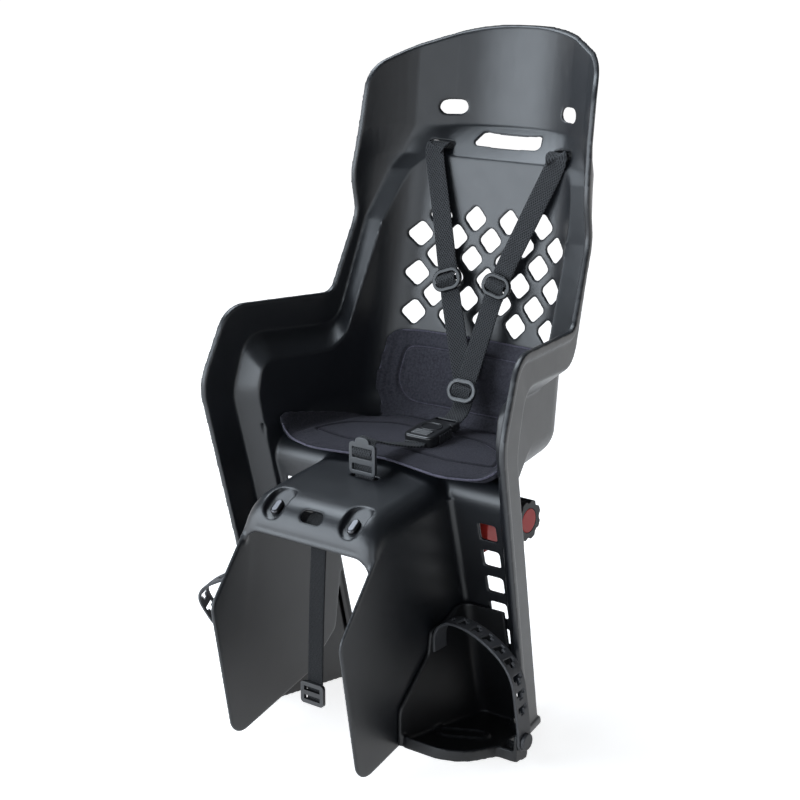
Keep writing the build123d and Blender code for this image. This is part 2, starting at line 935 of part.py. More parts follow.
def buckle_button(side):
    """Ribbed button that is squeezed inwards to let the tongue go."""
    body = button_room(side, 0)
    groove = Box(2 * button_stand, 1.6, button_height)
    outer = side * (buckle_width / 2 + button_stand)
    for step in (-2, -1, 0, 1, 2):
        body -= Pos(outer, button_y + step * button_length / 6, 0) * groove
    return buckle_place * body


def nose_top(y):
    """Height of the nose's top line at one place."""
    for (near, high), (ahead, low) in zip(nose_line, nose_line[1:]):
        if ahead <= y:
            return low + (high - low) * (y - ahead) / (near - ahead)
    return nose_lip_z


def crotch_strap():
    """From the nose slot up through its adjuster, over and back to the buckle."""
    end = buckle_place.from_local_coords((0, -buckle_length / 2 - 2 * pad_gap, 0))
    before_end = buckle_place.from_local_coords((0, -buckle_length / 2 - 2 * ring_bar, 0))
    top = crotch_adjuster_z + crotch_adjuster_height / 2
    stations = [
        ((0, crotch_slot_y, crotch_anchor_z()), (0, -1, 0)),
        ((0, crotch_slot_y, crotch_adjuster_z), (0, -1, 0)),
        ((0, crotch_slot_y + 2, top - 4), (0, -1, 0.3)),
        ((0, crotch_slot_y + 8, top + 2), (0, -0.3, 1)),
        ((end.X / 3, crotch_slot_y + 26, top - 6), (0, 0.4, 1)),
        (before_end, (0, 0.1, 1)),
        (end, buckle_place.z_dir),
    ]
    return ribbon(stations, webbing_width, webbing_thickness)


def crotch_adjuster():
    """Ladder lock that stands in front of the crotch strap."""
    half = crotch_adjuster_height / 2
    body = RectangleRounded(crotch_slot_width, crotch_adjuster_height, 4)
    body += Pos(0, half) * RectangleRounded(crotch_tab_width, 2 * crotch_tab_rise, ring_bar)
    upper = half - ring_bar - crotch_window / 2
    body -= Pos(0, upper) * Rectangle(webbing_width + 1, crotch_window)
    lower_top = upper - crotch_window / 2 - crotch_bar
    lower_height = lower_top + half - ring_thickness
    body -= Pos(0, lower_top - lower_height / 2) * Rectangle(webbing_width + 1, lower_height)
    front = webbing_thickness / 2 + pad_gap
    place = Plane(
        origin=(0, crotch_slot_y - front, crotch_adjuster_z), x_dir=(1, 0, 0), z_dir=(0, -1, 0)
    )
    return place * extrude(body, ring_thickness)


def crotch_anchor_z():
    """Underside of the plate that lies close under the nose."""
    return nose_top(crotch_slot_y - anchor_width / 2) - 0.9 * wall - anchor_thickness


def crotch_anchor():
    """Plate under the nose that keeps the crotch strap from pulling out."""
    plate = RectangleRounded(crotch_slot_width + 12, anchor_width, 4)
    plate -= Rectangle(webbing_width + 1, webbing_thickness + 2 * pad_gap)
    return Pos(0, crotch_slot_y, crotch_anchor_z()) * extrude(plate, anchor_thickness)


def strap_anchor(side):
    """Slotted plate behind the shelf that holds the strap's upper end."""
    plate = RectangleRounded(strap_slot_width + 9, anchor_width, 4)
    plate -= Rectangle(webbing_width + 1, webbing_thickness + 2 * pad_gap)
    return strap_slot_place(side).offset(-strap_anchor_depth) * extrude(plate, -anchor_thickness)


# Safety strap and nose bolts


def safety_strap_bar():
    """Steel strip under the nose, held by the two nose bolts."""
    length = 2 * oval_x + 2 * bar_width
    strip = SlotOverall(length, bar_width)
    for side in (-1, 1):
        strip -= Pos(side * oval_x, 0) * Circle(nose_bolt_radius + fit)
    depth = oval_depth + wall + fit
    return bolt_place(0).offset(-depth) * extrude(strip, -bar_thickness)


def bar_underside():
    """Middle of the bar's lower face, where the safety strap hangs."""
    depth = oval_depth + wall + fit + bar_thickness
    return bolt_place(0).origin - bolt_place(0).z_dir * depth


def nose_bolt(side):
    """Bolt with a long rounded head that fills the lower half of its oval."""
    head = extrude(SlotOverall(nose_head_length, nose_head_width, rotation=90), nose_head_height)
    head = fillet(head.edges().group_by(Axis.Z)[-1], nose_head_height / 2)
    reach = wall + bar_thickness + 2 * nose_bolt_radius
    return bolt_place(side).offset(-oval_depth) * (head + extrude(Circle(nose_bolt_radius), -reach))


def nose_nut(side):
    depth = oval_depth + wall + bar_thickness + 2 * fit
    ring_face = RegularPolygon(1.9 * nose_bolt_radius, 6) - Circle(nose_bolt_radius + fit / 2)
    return bolt_place(side).offset(-depth) * extrude(ring_face, -1.6 * nose_bolt_radius)


def safety_strap():
    """Webbing that hangs from the bar, for tying the seat to the bike's frame."""
    start = bar_underside()
    stations = [
        (start, (0, -1, -0.4)),
        (start - bolt_place(0).z_dir * 2 * safety_thickness, (0, -1, -0.4)),
        ((0, start.Y, start.Z - 30), (0, -1, 0)),
        ((0, start.Y - 5, start.Z / 2 + safety_foot / 2), (0, -1, 0)),
        ((0, start.Y - safety_swing, safety_foot), (0, -1, 0)),
    ]
    return ribbon(stations, safety_width, safety_thickness)


def safety_strap_buckle():
    """Slide buckle in front of the hanging strap's end."""
    front = bar_underside().Y - safety_swing - safety_thickness / 2 - pad_gap
    body = RectangleRounded(safety_width + 10, 24, 4)
    for side in (-1, 1):
        body -= Pos(0, side * 5) * Rectangle(safety_width + 1, 5)
    place = Plane(origin=(0, front, safety_foot + 14), x_dir=(1, 0, 0), z_dir=(0, -1, 0))
    return place * extrude(body, ring_thickness)


# Footrests


foot_floor = Plane(
    origin=(0, foot_front_y, foot_front_z),
    x_dir=(1, 0, 0),
    z_dir=(0, sin(radians(foot_tilt)), cos(radians(foot_tilt))),
)


def foot_plan():
    """Plan of the left tread, with an ear in front of the leg guard for the strap."""
    inner = nose_half_width + slide_gap
    tilt = radians(foot_tilt)
    back = channel_face(-slide_gap, foot_front_z) - foot_front_y
    back /= cos(tilt) - channel_slope * sin(tilt)
    ear_rear = foot_ear_y - foot_front_y
    ear_front = ear_rear - foot_ear_length
    corners = [
        (inner, 0, 12),
        (foot_toe_x, 0, 40),
        (foot_outer_x + foot_neck, ear_front, 5),
        (foot_ear_x, ear_front, 5),
        (foot_ear_x, ear_rear, 6),
        (foot_outer_x, ear_rear + 6, 6),
        (foot_outer_x, ear_rear + 30, 12),
        (foot_back_x, back - foot_heel, 8),
        (foot_back_x, back, 0),
        (inner, back, 0),
    ]
    return outline(corners)


def along_channel(corners):
    """Plan at the footrest's foot, run up along the lean of the channel's back wall."""
    foot = foot_front_z - foot_depth
    rise = sqrt(1 + channel_slope**2)
    plan = Pos(0, 0, foot) * outline(corners)
    return extrude(plan, (foot_back_top - foot) * rise, dir=(0, -channel_slope, 1))


def foot_upright():
    """Side wall and back plate in one, running along the channel's corner."""
    inner = nose_half_width + slide_gap
    foot = foot_front_z - foot_depth
    back = channel_face(-slide_gap, foot)
    radius = channel_corner + 1
    corners = [
        (inner, foot_front_y - foot_wall, 0),
        (inner + foot_wall, foot_front_y - foot_wall, 0),
        (inner + foot_wall, back - foot_wall, radius - foot_wall),
        (foot_back_x, back - foot_wall, 0),
        (foot_back_x, back, 0),
        (inner, back, radius),
    ]
    strap_y = foot_strap_y
    side_view = [
        (foot_front_y, foot, 0),
        (foot_front_y, foot_front_z + 36, 12),
        (strap_y - 16, foot_strap_z - 14, 10),
        (strap_y - 12, foot_strap_z + 12, 8),
        (strap_y + 14, foot_strap_z + 14, 14),
        (channel_face(-slide_gap - 20, foot_back_top), foot_back_top, 10),
        (0, foot_back_top, 0),
        (0, foot, 0),
    ]
    return along_channel(corners) & side_prism(side_view, far)


def foot_room():
    """Room of the footrest in its channel, clear of the rounded inner corner."""
    inner = nose_half_width + slide_gap
    back = channel_face(-slide_gap, foot_front_z - foot_depth)
    corners = [
        (inner, -far, 0),
        (far, -far, 0),
        (far, back, 0),
        (inner, back, channel_corner + 1),
    ]
    return along_channel(corners)


def footrest():
    """Left footrest: tread with a lip and a raised rib, side wall and back plate."""
    plan = foot_plan()
    body = extrude(foot_floor * plan, -foot_wall)
    body += extrude(foot_floor * (plan - offset(plan, amount=-foot_wall)), foot_lip)
    rib = SlotOverall(rib_length, rib_width)
    rib -= SlotOverall(rib_length - 2 * foot_wall, rib_width - 2 * foot_wall)
    rib_place = Pos(rib_x, rib_y - foot_front_y) * Rot(0, 0, rib_turn)
    body += extrude(foot_floor * rib_place * rib, rib_height)
    floor_side = extrude(foot_floor.offset(-foot_wall) * Rectangle(2 * far, 2 * far), far)
    body += foot_upright()
    tab = Pos(foot_ear_x - foot_wall / 2, foot_peg_y, foot_peg_z - 8) * Box(foot_wall, 22, 36)
    body += fillet(tab.edges().filter_by(Axis.X), 8)
    body -= Pos(foot_ear_x, foot_peg_y, foot_peg_z) * Rot(0, 90, 0) * Cylinder(peg_radius + fit, 40)
    return body & floor_side & foot_room()


def foot_strap():
    """Rubber strap over the instep, from the side wall to the peg outside."""
    start = nose_half_width + slide_gap + foot_wall + pad_gap + foot_strap_thickness / 2
    end = foot_ear_x + pad_gap + foot_strap_thickness / 2
    y = foot_strap_y
    z = foot_strap_z
    stations = [
        ((start, y, z - 12), (-1, 0, 0)),
        ((start, y, z + 6), (-1, 0, 0.2)),
        ((start + 7, y, z + 18), (-0.6, 0, 1)),
        ((start + 23, y - 1, z + 25), (-0.2, 0, 1)),
        ((start + 53, y - 5, z + 22), (0.2, 0, 1)),
        ((start + 86, y - 11, z + 9), (0.6, 0, 1)),
        ((end - 3, y - 11, z - 12), (1, 0, 0.3)),
        ((end, y - 6, z - 45), (1, 0, 0)),
        ((end, foot_peg_y, foot_peg_z + 10), (1, 0, 0)),
        ((end, foot_peg_y, foot_peg_z - 10), (1, 0, 0)),
    ]
    strap = ribbon(stations, foot_strap_width, foot_strap_thickness)
    hole = Pos(end, foot_peg_y, foot_peg_z) * Rot(0, 90, 0) * Cylinder(peg_radius + fit, 20)
    return strap - hole


def strap_peg():
    """Push peg that holds the strap's outer end on the footrest's tab."""
    outside = foot_ear_x + foot_strap_thickness + 2 * pad_gap
    head = Pos(outside + 2, 0, 0) * Rot(0, 90, 0) * Cylinder(peg_head, 4)
    stud_length = foot_strap_thickness + foot_wall + 2 * pad_gap
    stud = Pos(outside - stud_length / 2, 0, 0) * Rot(0, 90, 0) * Cylinder(peg_radius, stud_length)
    head = fillet(head.edges().group_by(Axis.X)[-1], 1.5)
    return Pos(0, foot_peg_y, foot_peg_z) * (head + stud)


# Carrier clamp


def across(x0, x1, y, z, radius):
    """Round bar along X."""
    bar = Cylinder(radius, x1 - x0, rotation=(0, 90, 0))
    return Pos((x0 + x1) / 2, y, z) * bar


def clamp_housing():
    """Hollow block under the pan that rests on the carrier's rails."""
    top = pan_height - wall
    outer = Pos(0, top / 2) * Rectangle(2 * clamp_half_width, top)
    outer = chamfer(outer.vertices().group_by(Axis.Y)[-1], clamp_wall)
    cell_width = clamp_half_width - clamp_wall - clamp_web / 2
    cell = RectangleRounded(cell_width, top - 2 * clamp_wall, 4)
    cell_x = (clamp_web + cell_width) / 2
    profile = outer - Pos(cell_x, top / 2) * cell - Pos(-cell_x, top / 2) * cell
    length = clamp_rear_y - clamp_front_y
    body = extrude(Plane.XZ.offset(-clamp_rear_y) * profile, length)
    reach = clamp_half_width + 1
    body -= across(-reach, reach, screw_y, screw_z, screw_radius + running_fit)
    for pin_y in pin_places:
        body -= across(-reach, reach, pin_y, screw_z, pin_radius + running_fit)
    for x, y in bolt_places():
        body -= Pos(x, y, top) * Cylinder(bolt_radius + fit, 4 * clamp_wall)
    return body


def clamp_bolts():
    return [Pos(x, y, pan_height) * bolt_sink(0) for x, y in bolt_places()]


def clamp_nuts():
    face = RegularPolygon(1.9 * bolt_radius, 6) - Circle(bolt_radius + fit / 2)
    height = 1.6 * bolt_radius
    z = pan_height - wall - clamp_wall - fit / 2 - height
    return [Pos(x, y, z) * extrude(face, height) for x, y in bolt_places()]


def jaw_outline():
    """Hook that reaches under the rail, with its lug beside the housing."""
    foot = rail_z - rail_radius - lining_thickness - jaw_foot
    lug = clamp_half_width + jaw_clear
    corners = [
        (rail_x - jaw_reach, foot, 4),
        (lug + jaw_lug, foot, 8),
        (lug + jaw_lug, jaw_top, 8),
        (lug, jaw_top, 4),
        (lug, -slide_gap, 0),
        (rail_x - jaw_reach, -slide_gap, 0),
    ]
    return outline(corners)


def jaw_solid(face):
    return extrude(Plane.XZ.offset(-screw_y - jaw_length / 2) * face, jaw_length)


def jaw():
    """Left jaw: hook with the rail's groove, bored for the screw and its guide pins."""
    groove = Pos(rail_x, rail_z) * Circle(rail_radius + lining_thickness + fit / 2)
    body = jaw_solid(jaw_outline() - groove)
    reach = clamp_half_width + jaw_clear + jaw_lug + 1
    body -= across(clamp_half_width, reach, screw_y, screw_z, screw_radius + running_fit)
    for pin_y in pin_places:
        body -= across(clamp_half_width, reach, pin_y, screw_z, pin_radius + running_fit)
    return body


def jaw_lining():
    """Rubber strip in the jaw's groove."""
    strip = Circle(rail_radius + lining_thickness) - Circle(rail_radius)
    under = rail_inset + slide_gap
    strip -= Pos(under - far / 2, far / 2) * Rectangle(far, far)
    return jaw_solid(jaw_outline() & (Pos(rail_x, rail_z) * strip))


def guide_pins():
    """Two pins fixed in the left jaw that slide in the housing's side."""
    end = clamp_half_width + jaw_clear + jaw_lug
    return [across(pin_inner_x, end, pin_y, screw_z, pin_radius) for pin_y in pin_places]


def clamp_screw():
    """Screw with opposite threads that draws both jaws together."""
    end = clamp_half_width + jaw_clear + jaw_lug + jaw_travel + 2
    return across(-end, end + knob_length / 2, screw_y, screw_z, screw_radius)


def clamp_knob():
    """Lobed knob on the screw's end, hollowed on its face."""
    body = Circle(knob_radius)
    for lobe in range(knob_lobes):
        turn = 2 * pi * lobe / knob_lobes
        place = Pos(1.12 * knob_radius * cos(turn), 1.12 * knob_radius * sin(turn))
        body -= place * Circle(knob_radius / 4)
    knob = extrude(body, knob_length)
    knob -= Pos(0, 0, knob_length) * Cylinder(face_radius + fit, 2 * face_depth)
    knob -= Cylinder(screw_radius + running_fit, knob_length + running_fit)
    return knob_place * knob


def knob_face():
    disc = extrude(Circle(face_radius), face_depth)
    disc = fillet(disc.edges().group_by(Axis.Z)[-1], face_depth / 3)
    return knob_place * Pos(0, 0, knob_length - face_depth) * disc


pieces = {}
pad_layer = lining()
pieces["seat_pad"] = seat_pad(pad_layer)
pieces["back_pad"] = back_pad(pad_layer)
pieces["left_shoulder_strap"] = shoulder_strap(1, left_adjuster)
pieces["right_shoulder_strap"] = shoulder_strap(-1, right_adjuster)
pieces["left_strap_adjuster"] = strap_adjuster(1, left_adjuster)
pieces["right_strap_adjuster"] = strap_adjuster(-1, right_adjuster)
pieces["left_strap_anchor"] = strap_anchor(1)
pieces["right_strap_anchor"] = strap_anchor(-1)
pieces["joining_ring"] = joining_ring()
pieces["joined_strap"] = joined_strap()
pieces["buckle_tongue"] = buckle_tongue()
pieces["buckle_housing"] = buckle_housing()
pieces["left_buckle_button"] = buckle_button(1)
pieces["right_buckle_button"] = buckle_button(-1)
pieces["crotch_strap"] = crotch_strap()
pieces["crotch_adjuster"] = crotch_adjuster()
pieces["crotch_anchor"] = crotch_anchor()
pieces["safety_strap_bar"] = safety_strap_bar()
pieces["safety_strap"] = safety_strap()
pieces["safety_strap_buckle"] = safety_strap_buckle()
pieces["nose_bolts"] = Compound(children=[nose_bolt(-1), nose_bolt(1)])
pieces["nose_nuts"] = Compound(children=[nose_nut(-1), nose_nut(1)])
pieces["clamp_housing"] = clamp_housing()
pieces["clamp_bolts"] = Compound(children=clamp_bolts())
pieces["clamp_nuts"] = Compound(children=clamp_nuts())
pieces["clamp_screw"] = clamp_screw()
pieces["clamp_knob"] = clamp_knob()
pieces["knob_face"] = knob_face()

paired = {
    "footrest": footrest(),
    "foot_strap": foot_strap(),
    "strap_peg": strap_peg(),
    "jaw": jaw(),
    "jaw_lining": jaw_lining(),
    "guide_pins": Compound(children=guide_pins()),
}
for name, shape in paired.items():
    pieces["left_" + name] = shape
    pieces["right_" + name] = mirrored(shape)

pieces["shell"] = shell()

for name, shape in pieces.items():
    export_step(shape, "parts/" + name + ".step")
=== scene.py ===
import json
from math import cos, pi, radians, sin

import bmesh
import bpy
import numpy as np
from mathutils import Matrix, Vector

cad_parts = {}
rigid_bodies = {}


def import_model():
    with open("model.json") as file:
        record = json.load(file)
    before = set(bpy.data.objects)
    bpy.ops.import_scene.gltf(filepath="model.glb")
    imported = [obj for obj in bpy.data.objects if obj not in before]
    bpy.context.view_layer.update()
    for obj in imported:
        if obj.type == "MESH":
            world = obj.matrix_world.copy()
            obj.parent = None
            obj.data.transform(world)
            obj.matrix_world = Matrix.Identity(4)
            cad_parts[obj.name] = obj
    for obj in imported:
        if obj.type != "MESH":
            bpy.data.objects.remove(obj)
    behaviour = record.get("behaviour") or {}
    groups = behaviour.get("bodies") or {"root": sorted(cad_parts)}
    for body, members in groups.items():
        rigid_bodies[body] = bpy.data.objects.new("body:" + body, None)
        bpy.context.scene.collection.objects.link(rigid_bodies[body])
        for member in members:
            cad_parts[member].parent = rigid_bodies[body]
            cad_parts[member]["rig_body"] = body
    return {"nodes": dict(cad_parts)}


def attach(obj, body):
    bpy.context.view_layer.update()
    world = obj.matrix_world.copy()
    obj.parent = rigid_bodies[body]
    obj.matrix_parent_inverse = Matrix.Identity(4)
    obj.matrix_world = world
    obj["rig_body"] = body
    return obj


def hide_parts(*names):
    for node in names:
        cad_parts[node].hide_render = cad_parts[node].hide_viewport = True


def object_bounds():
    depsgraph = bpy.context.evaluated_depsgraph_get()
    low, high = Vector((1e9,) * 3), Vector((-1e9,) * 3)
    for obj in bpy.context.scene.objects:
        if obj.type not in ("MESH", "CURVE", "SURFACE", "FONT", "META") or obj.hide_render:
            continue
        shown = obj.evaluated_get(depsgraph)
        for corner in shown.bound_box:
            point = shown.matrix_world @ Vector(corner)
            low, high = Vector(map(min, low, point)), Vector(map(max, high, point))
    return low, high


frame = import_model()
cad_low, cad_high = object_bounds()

# A child bike seat: moulded shell, felt pads, webbing harness, footrests and carrier clamp.
# Metres, in the CAD frame: +X is the child's left, -Y the front, +Z up.
# Routes of straps are in millimetres.

scene = bpy.context.scene
nodes = frame["nodes"]
mm = 0.001

# Camera, in front of the seat and on the child's left
camera_place = (1.0425, -1.4312, 0.6141)
camera_look = (-0.5798, 0.7686, -0.2703)
camera_lens = 76.5
camera_sensor = 36

# Moulded pieces: voxel size, smoothing rounds and triangle limit
weld = 1e-5
smoothing = 0.5
shell_mould = ((1.1 * mm, 18, 190000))
footrest_mould = (1.4 * mm, 4, 60000)
small_mould = (0.5 * mm, 3, 30000)

# Pads
pad_voxel = 2.5 * mm
pad_rounds = 4
pad_focus = (0.0, -0.02, 0.24)
seat_middle = (0.0, -0.02)
back_middle = (0.0, 0.118)
pad_swell = 3.0 * mm
pad_pressure = 4.0
pad_stiffness = 30
pad_frames = 20
held_share = 0.45
top_limit = 0.3
edge_steps = 260
edge_window = 3
edge_band = 1.2 * mm
edge_rounds = 10
seat_seam = (0.80, 0.50)
back_seam = (0.82, 0.66)
seam_half_width = 3.2 * mm
seam_depth = 2.4 * mm
seam_neighbours = 6
seam_nearness = 0.2 * mm
seam_rounds = 4
piping_radius = 1.1 * mm
stitch_radius = 0.55 * mm
tube_sides = 8

# Harness
webbing_width = 25 * mm
webbing_thickness = 1.6 * mm
webbing_steps = 8
section_columns = 9
selvedge = (pi / 4, 0, -pi / 4)
slot_middle = 79
bend_shares = (0.45, 0.7)
bend_back = 18
bend_rise = 75
left_adjuster = (28, 92, 230)
right_adjuster = (-38, 92, 229.5)
adjuster_lift = 7.2
adjuster_clear = 22
adjuster_edge = 9.5
adjuster_bar = 2.5
ring_spot = (10, 50, 118)
ring_lean = radians(20.5)
ring_lift = 4.0
ring_clear = 26
ring_edge = 9.5
ring_bar = 3
first_layer = 3.1
layer_pitch = 2.2

# Foot straps
strap_width = 22 * mm
strap_thickness = 3 * mm
strap_cell = 1 * mm
strap_steps = 40
end_setback = 0.9
end_limit = 0.995
slot_first = 36 * mm
slot_pitch = 17.5 * mm
slot_count = 9
slot_bar = (14 * mm, 5 * mm)
slot_stem = (6 * mm, 5 * mm)

# Safety strap and the sewn loop round its bar
safety_width = 20 * mm
safety_thickness = 2 * mm
safety_order = 3
safety_steps = 16
bar_middle = (0, -187.2, 31.5)
bar_lean = radians(35)
bar_loop = (8.4, 2.5, 3.5)
bar_loop_steps = 48
bar_loop_squareness = 0.5
bar_loop_facing = 3

# Raised mouldings on the buckle's top
buckle_spot = (13.0, -16.0, 84.5)
buckle_lean = radians(7)
buckle_top = 6.5
ridge_radius = 0.9 * mm
ridge_steps = 64

# Edges of the CAD nodes that stay
edge_width = 0.4 * mm
edge_segments = 2
edge_angle = radians(40)


def linked(name, data):
    piece = bpy.data.objects.new(name, data)
    scene.collection.objects.link(piece)
    return piece


def smooth_shaded(mesh):
    mesh.polygons.foreach_set("use_smooth", [True] * len(mesh.polygons))
    mesh.update()


def mesh_piece(name, points, faces):
    mesh = bpy.data.meshes.new(name)
    mesh.from_pydata([tuple(point) for point in points], [], faces)
    smooth_shaded(mesh)
    return linked(name, mesh)


def settle(piece):
    """Replaces the piece's mesh by what its modifiers make of it."""
    graph = bpy.context.evaluated_depsgraph_get()
    made = bpy.data.meshes.new_from_object(piece.evaluated_get(graph))
    piece.modifiers.clear()
    piece.data = made


def copied(node, name):
    """Welded copy of a CAD node's mesh, as a piece of its own."""
    mesh = bpy.data.meshes.new(name)
    welded = bmesh.new()
    welded.from_mesh(nodes[node].data)
    bmesh.ops.remove_doubles(welded, verts=welded.verts, dist=weld)
    welded.to_mesh(mesh)
    welded.free()
    return linked(name, mesh)


def soften(piece, voxel, rounds):
    """Even remesh with its edges rounded, as a moulding tool leaves them."""
    remesh = piece.modifiers.new("remesh", "REMESH")
    remesh.mode = "VOXEL"
    remesh.voxel_size = voxel
    smooth = piece.modifiers.new("smooth", "SMOOTH")
    smooth.iterations = rounds
    smooth.factor = smoothing
    settle(piece)


def thin_out(piece, triangles):
    """Fewer faces, where the piece has more triangles than its limit."""
    count = sum(len(face.vertices) - 2 for face in piece.data.polygons)
    if count > triangles:
        thin = piece.modifiers.new("thin", "DECIMATE")
        thin.ratio = triangles / count
        settle(piece)


def refine(piece):
    """Each face split in four, with rounder corners."""
    finer = piece.modifiers.new("finer", "SUBSURF")
    finer.levels = finer.render_levels = 1


def dressed(piece, material):
    piece.data.materials.clear()
    piece.data.materials.append(material)


def moulded(node, mould, material):
    """Rounded piece that stands for one CAD node."""
    voxel, rounds, triangles = mould
    piece = copied(node, node + "_moulding")
    soften(piece, voxel, rounds)
    thin_out(piece, triangles)
    smooth_shaded(piece.data)
    dressed(piece, material)
    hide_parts(node)
    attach(piece, nodes[node]["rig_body"])


# Materials: noise as scale and detail, roughness and contrast as low and high

plastic_mottle = (14.0, 5.0)
plastic_gloss = 45.0
plastic_grain_detail = 2.0
plastic_grain_strength = 0.35
# Pointiness range over which convex edges are painted paler: painted highlights along rounded edges
edge_highlight_range = (0.52, 0.60)

thread_distortion = 0.6
thread_detail = 1.0
thread_fibre = (90.0, 4.0)
thread_contrast = (0.2, 0.6)
thread_rough = (0.62, 0.85)
thread_strength = 0.8

felt_mottle = (420.0, 6.0)
felt_fibre = (2400.0, 4.0)
felt_contrast = (0.36, 0.64)
felt_rough = (0.85, 1.0)
felt_strength = 0.8
felt_depth = 0.7 * mm
felt_sheen_tint = (0.75, 0.72, 0.85, 1)


def start_material(name):
    material = bpy.data.materials.new(name)
    material.use_nodes = True
    tree = material.node_tree
    return material, tree, tree.nodes["Principled BSDF"]


def add_node(tree, kind, inputs=None, **settings):
    made = tree.nodes.new(kind)
    for key, value in settings.items():
        setattr(made, key, value)
    for socket, value in (inputs or {}).items():
        if isinstance(value, bpy.types.NodeSocket):
            tree.links.new(value, made.inputs[socket])
        else:
            made.inputs[socket].default_value = value
    return made


def math_node(tree, operation, first, second):
    return add_node(tree, "ShaderNodeMath", {0: first, 1: second}, operation=operation).outputs[0]


def ramp(tree, factor, low, high, start=0.35, end=0.65):
    made = add_node(tree, "ShaderNodeValToRGB", {"Fac": factor})
    first, last = made.color_ramp.elements
    first.position, last.position = start, end
    first.color, last.color = (*low, 1), (*high, 1)
    return made.outputs["Color"]


def spread(tree, factor, low, high):
    made = add_node(tree, "ShaderNodeMapRange", {"Value": factor, "To Min": low, "To Max": high})
    return made.outputs["Result"]


def noise(tree, coordinates, scale, detail=3.0):
    inputs = {"Vector": coordinates, "Scale": scale, "Detail": detail}
    return add_node(tree, "ShaderNodeTexNoise", inputs).outputs["Fac"]


def bump(tree, shader, height, strength, distance):
    inputs = {"Height": height, "Strength": strength, "Distance": distance}
    made = add_node(tree, "ShaderNodeBump", inputs)
    tree.links.new(made.outputs["Normal"], shader.inputs["Normal"])


def set_constants(shader, constants):
    for socket, value in constants.items():
        shader.inputs[socket].default_value = value


def moulded_plastic(name, dark, light, rough, grain, depth, painted_edge_highlight=None, **constants):
    """Plastic, rubber or metal with a fine grain, uneven gloss and convex edges painted paler, as painted
    highlights.
    """
    material, tree, shader = start_material(name)
    place = add_node(tree, "ShaderNodeTexCoord").outputs["Object"]
    colour = ramp(tree, noise(tree, place, *plastic_mottle), dark, light)
    # Painted highlights: convex edges mixed towards a paler colour by pointiness
    if painted_edge_highlight:
        edge = add_node(tree, "ShaderNodeNewGeometry").outputs["Pointiness"]
        share = ramp(tree, edge, (0, 0, 0), (1, 1, 1), *edge_highlight_range)
        mix = add_node(tree, "ShaderNodeMix", data_type="RGBA")
        tree.links.new(share, mix.inputs["Factor"])
        tree.links.new(colour, mix.inputs["A"])
        mix.inputs["B"].default_value = (*painted_edge_highlight, 1)
        colour = mix.outputs["Result"]
    tree.links.new(colour, shader.inputs["Base Color"])
    gloss = spread(tree, noise(tree, place, plastic_gloss), *rough)
    tree.links.new(gloss, shader.inputs["Roughness"])
    bump(tree, shader, noise(tree, place, grain, plastic_grain_detail), plastic_grain_strength, depth)
    set_constants(shader, constants)
    return material


def woven(name, dark, light, scale, depth, slant):
    """Webbing woven in the ribbon's own u and v."""
    material, tree, shader = start_material(name)
    place = add_node(tree, "ShaderNodeUVMap").outputs["UV"]
    threads = []
    for turn in (slant, -slant):
        turned = add_node(tree, "ShaderNodeMapping", {"Vector": place, "Rotation": (0, 0, turn)})
        wave = add_node(tree, "ShaderNodeTexWave", {"Vector": turned.outputs["Vector"]})
        wave.inputs["Scale"].default_value = scale
        wave.inputs["Distortion"].default_value = thread_distortion
        wave.inputs["Detail"].default_value = thread_detail
        threads.append(wave.outputs["Fac"])
    weave = math_node(tree, "MAXIMUM", *threads)
    fibre = noise(tree, place, *thread_fibre)
    height = math_node(tree, "MULTIPLY", weave, fibre)
    tree.links.new(ramp(tree, height, dark, light, *thread_contrast), shader.inputs["Base Color"])
    tree.links.new(spread(tree, fibre, *thread_rough), shader.inputs["Roughness"])
    bump(tree, shader, height, thread_strength, depth)
    set_constants(shader, {"Sheen Weight": 0.08, "Sheen Roughness": 0.4, "Specular IOR Level": 0.25})
    return material


def felt(name, dark, light, sheen):
    """Pressed felt: mottled colour and short fibres."""
    material, tree, shader = start_material(name)
    place = add_node(tree, "ShaderNodeTexCoord").outputs["Object"]
    mottle = noise(tree, place, *felt_mottle)
    fibre = noise(tree, place, *felt_fibre)
    mean = math_node(tree, "MULTIPLY", math_node(tree, "ADD", mottle, fibre), 0.5)
    tree.links.new(ramp(tree, mean, dark, light, *felt_contrast), shader.inputs["Base Color"])
    tree.links.new(spread(tree, fibre, *felt_rough), shader.inputs["Roughness"])
    bump(tree, shader, mean, felt_strength, felt_depth)
    set_constants(shader, {"Sheen Weight": sheen, "Sheen Roughness": 0.5, "Specular IOR Level": 0.1})
    shader.inputs["Sheen Tint"].default_value = felt_sheen_tint
    return material


# The paler edge colour given to each material is a painted highlight along its rounded edges
shell_plastic = moulded_plastic(
    "shell_plastic", (0.0062, 0.0070, 0.0090), (0.0086, 0.0097, 0.0122), (0.36, 0.43), 2600.0, 0.05 * mm,
    painted_edge_highlight=(0.022, 0.023, 0.026), **{"Specular IOR Level": 0.55},
)
foot_plastic = moulded_plastic(
    "foot_plastic", (0.0065, 0.0066, 0.0075), (0.0092, 0.0094, 0.0105), (0.42, 0.50), 2400.0, 0.05 * mm,
    painted_edge_highlight=(0.022, 0.023, 0.026), **{"Specular IOR Level": 0.4},
)
buckle_plastic = moulded_plastic(
    "buckle_plastic", (0.010, 0.010, 0.011), (0.016, 0.016, 0.017), (0.28, 0.38), 1800.0, 0.04 * mm,
    painted_edge_highlight=(0.03, 0.03, 0.032), **{"Specular IOR Level": 0.5},
)
adjuster_plastic = moulded_plastic(
    "adjuster_plastic", (0.006, 0.006, 0.007), (0.009, 0.009, 0.0105), (0.16, 0.22), 1400.0, 0.01 * mm,
    painted_edge_highlight=(0.014, 0.014, 0.016), **{"Specular IOR Level": 0.28},
)
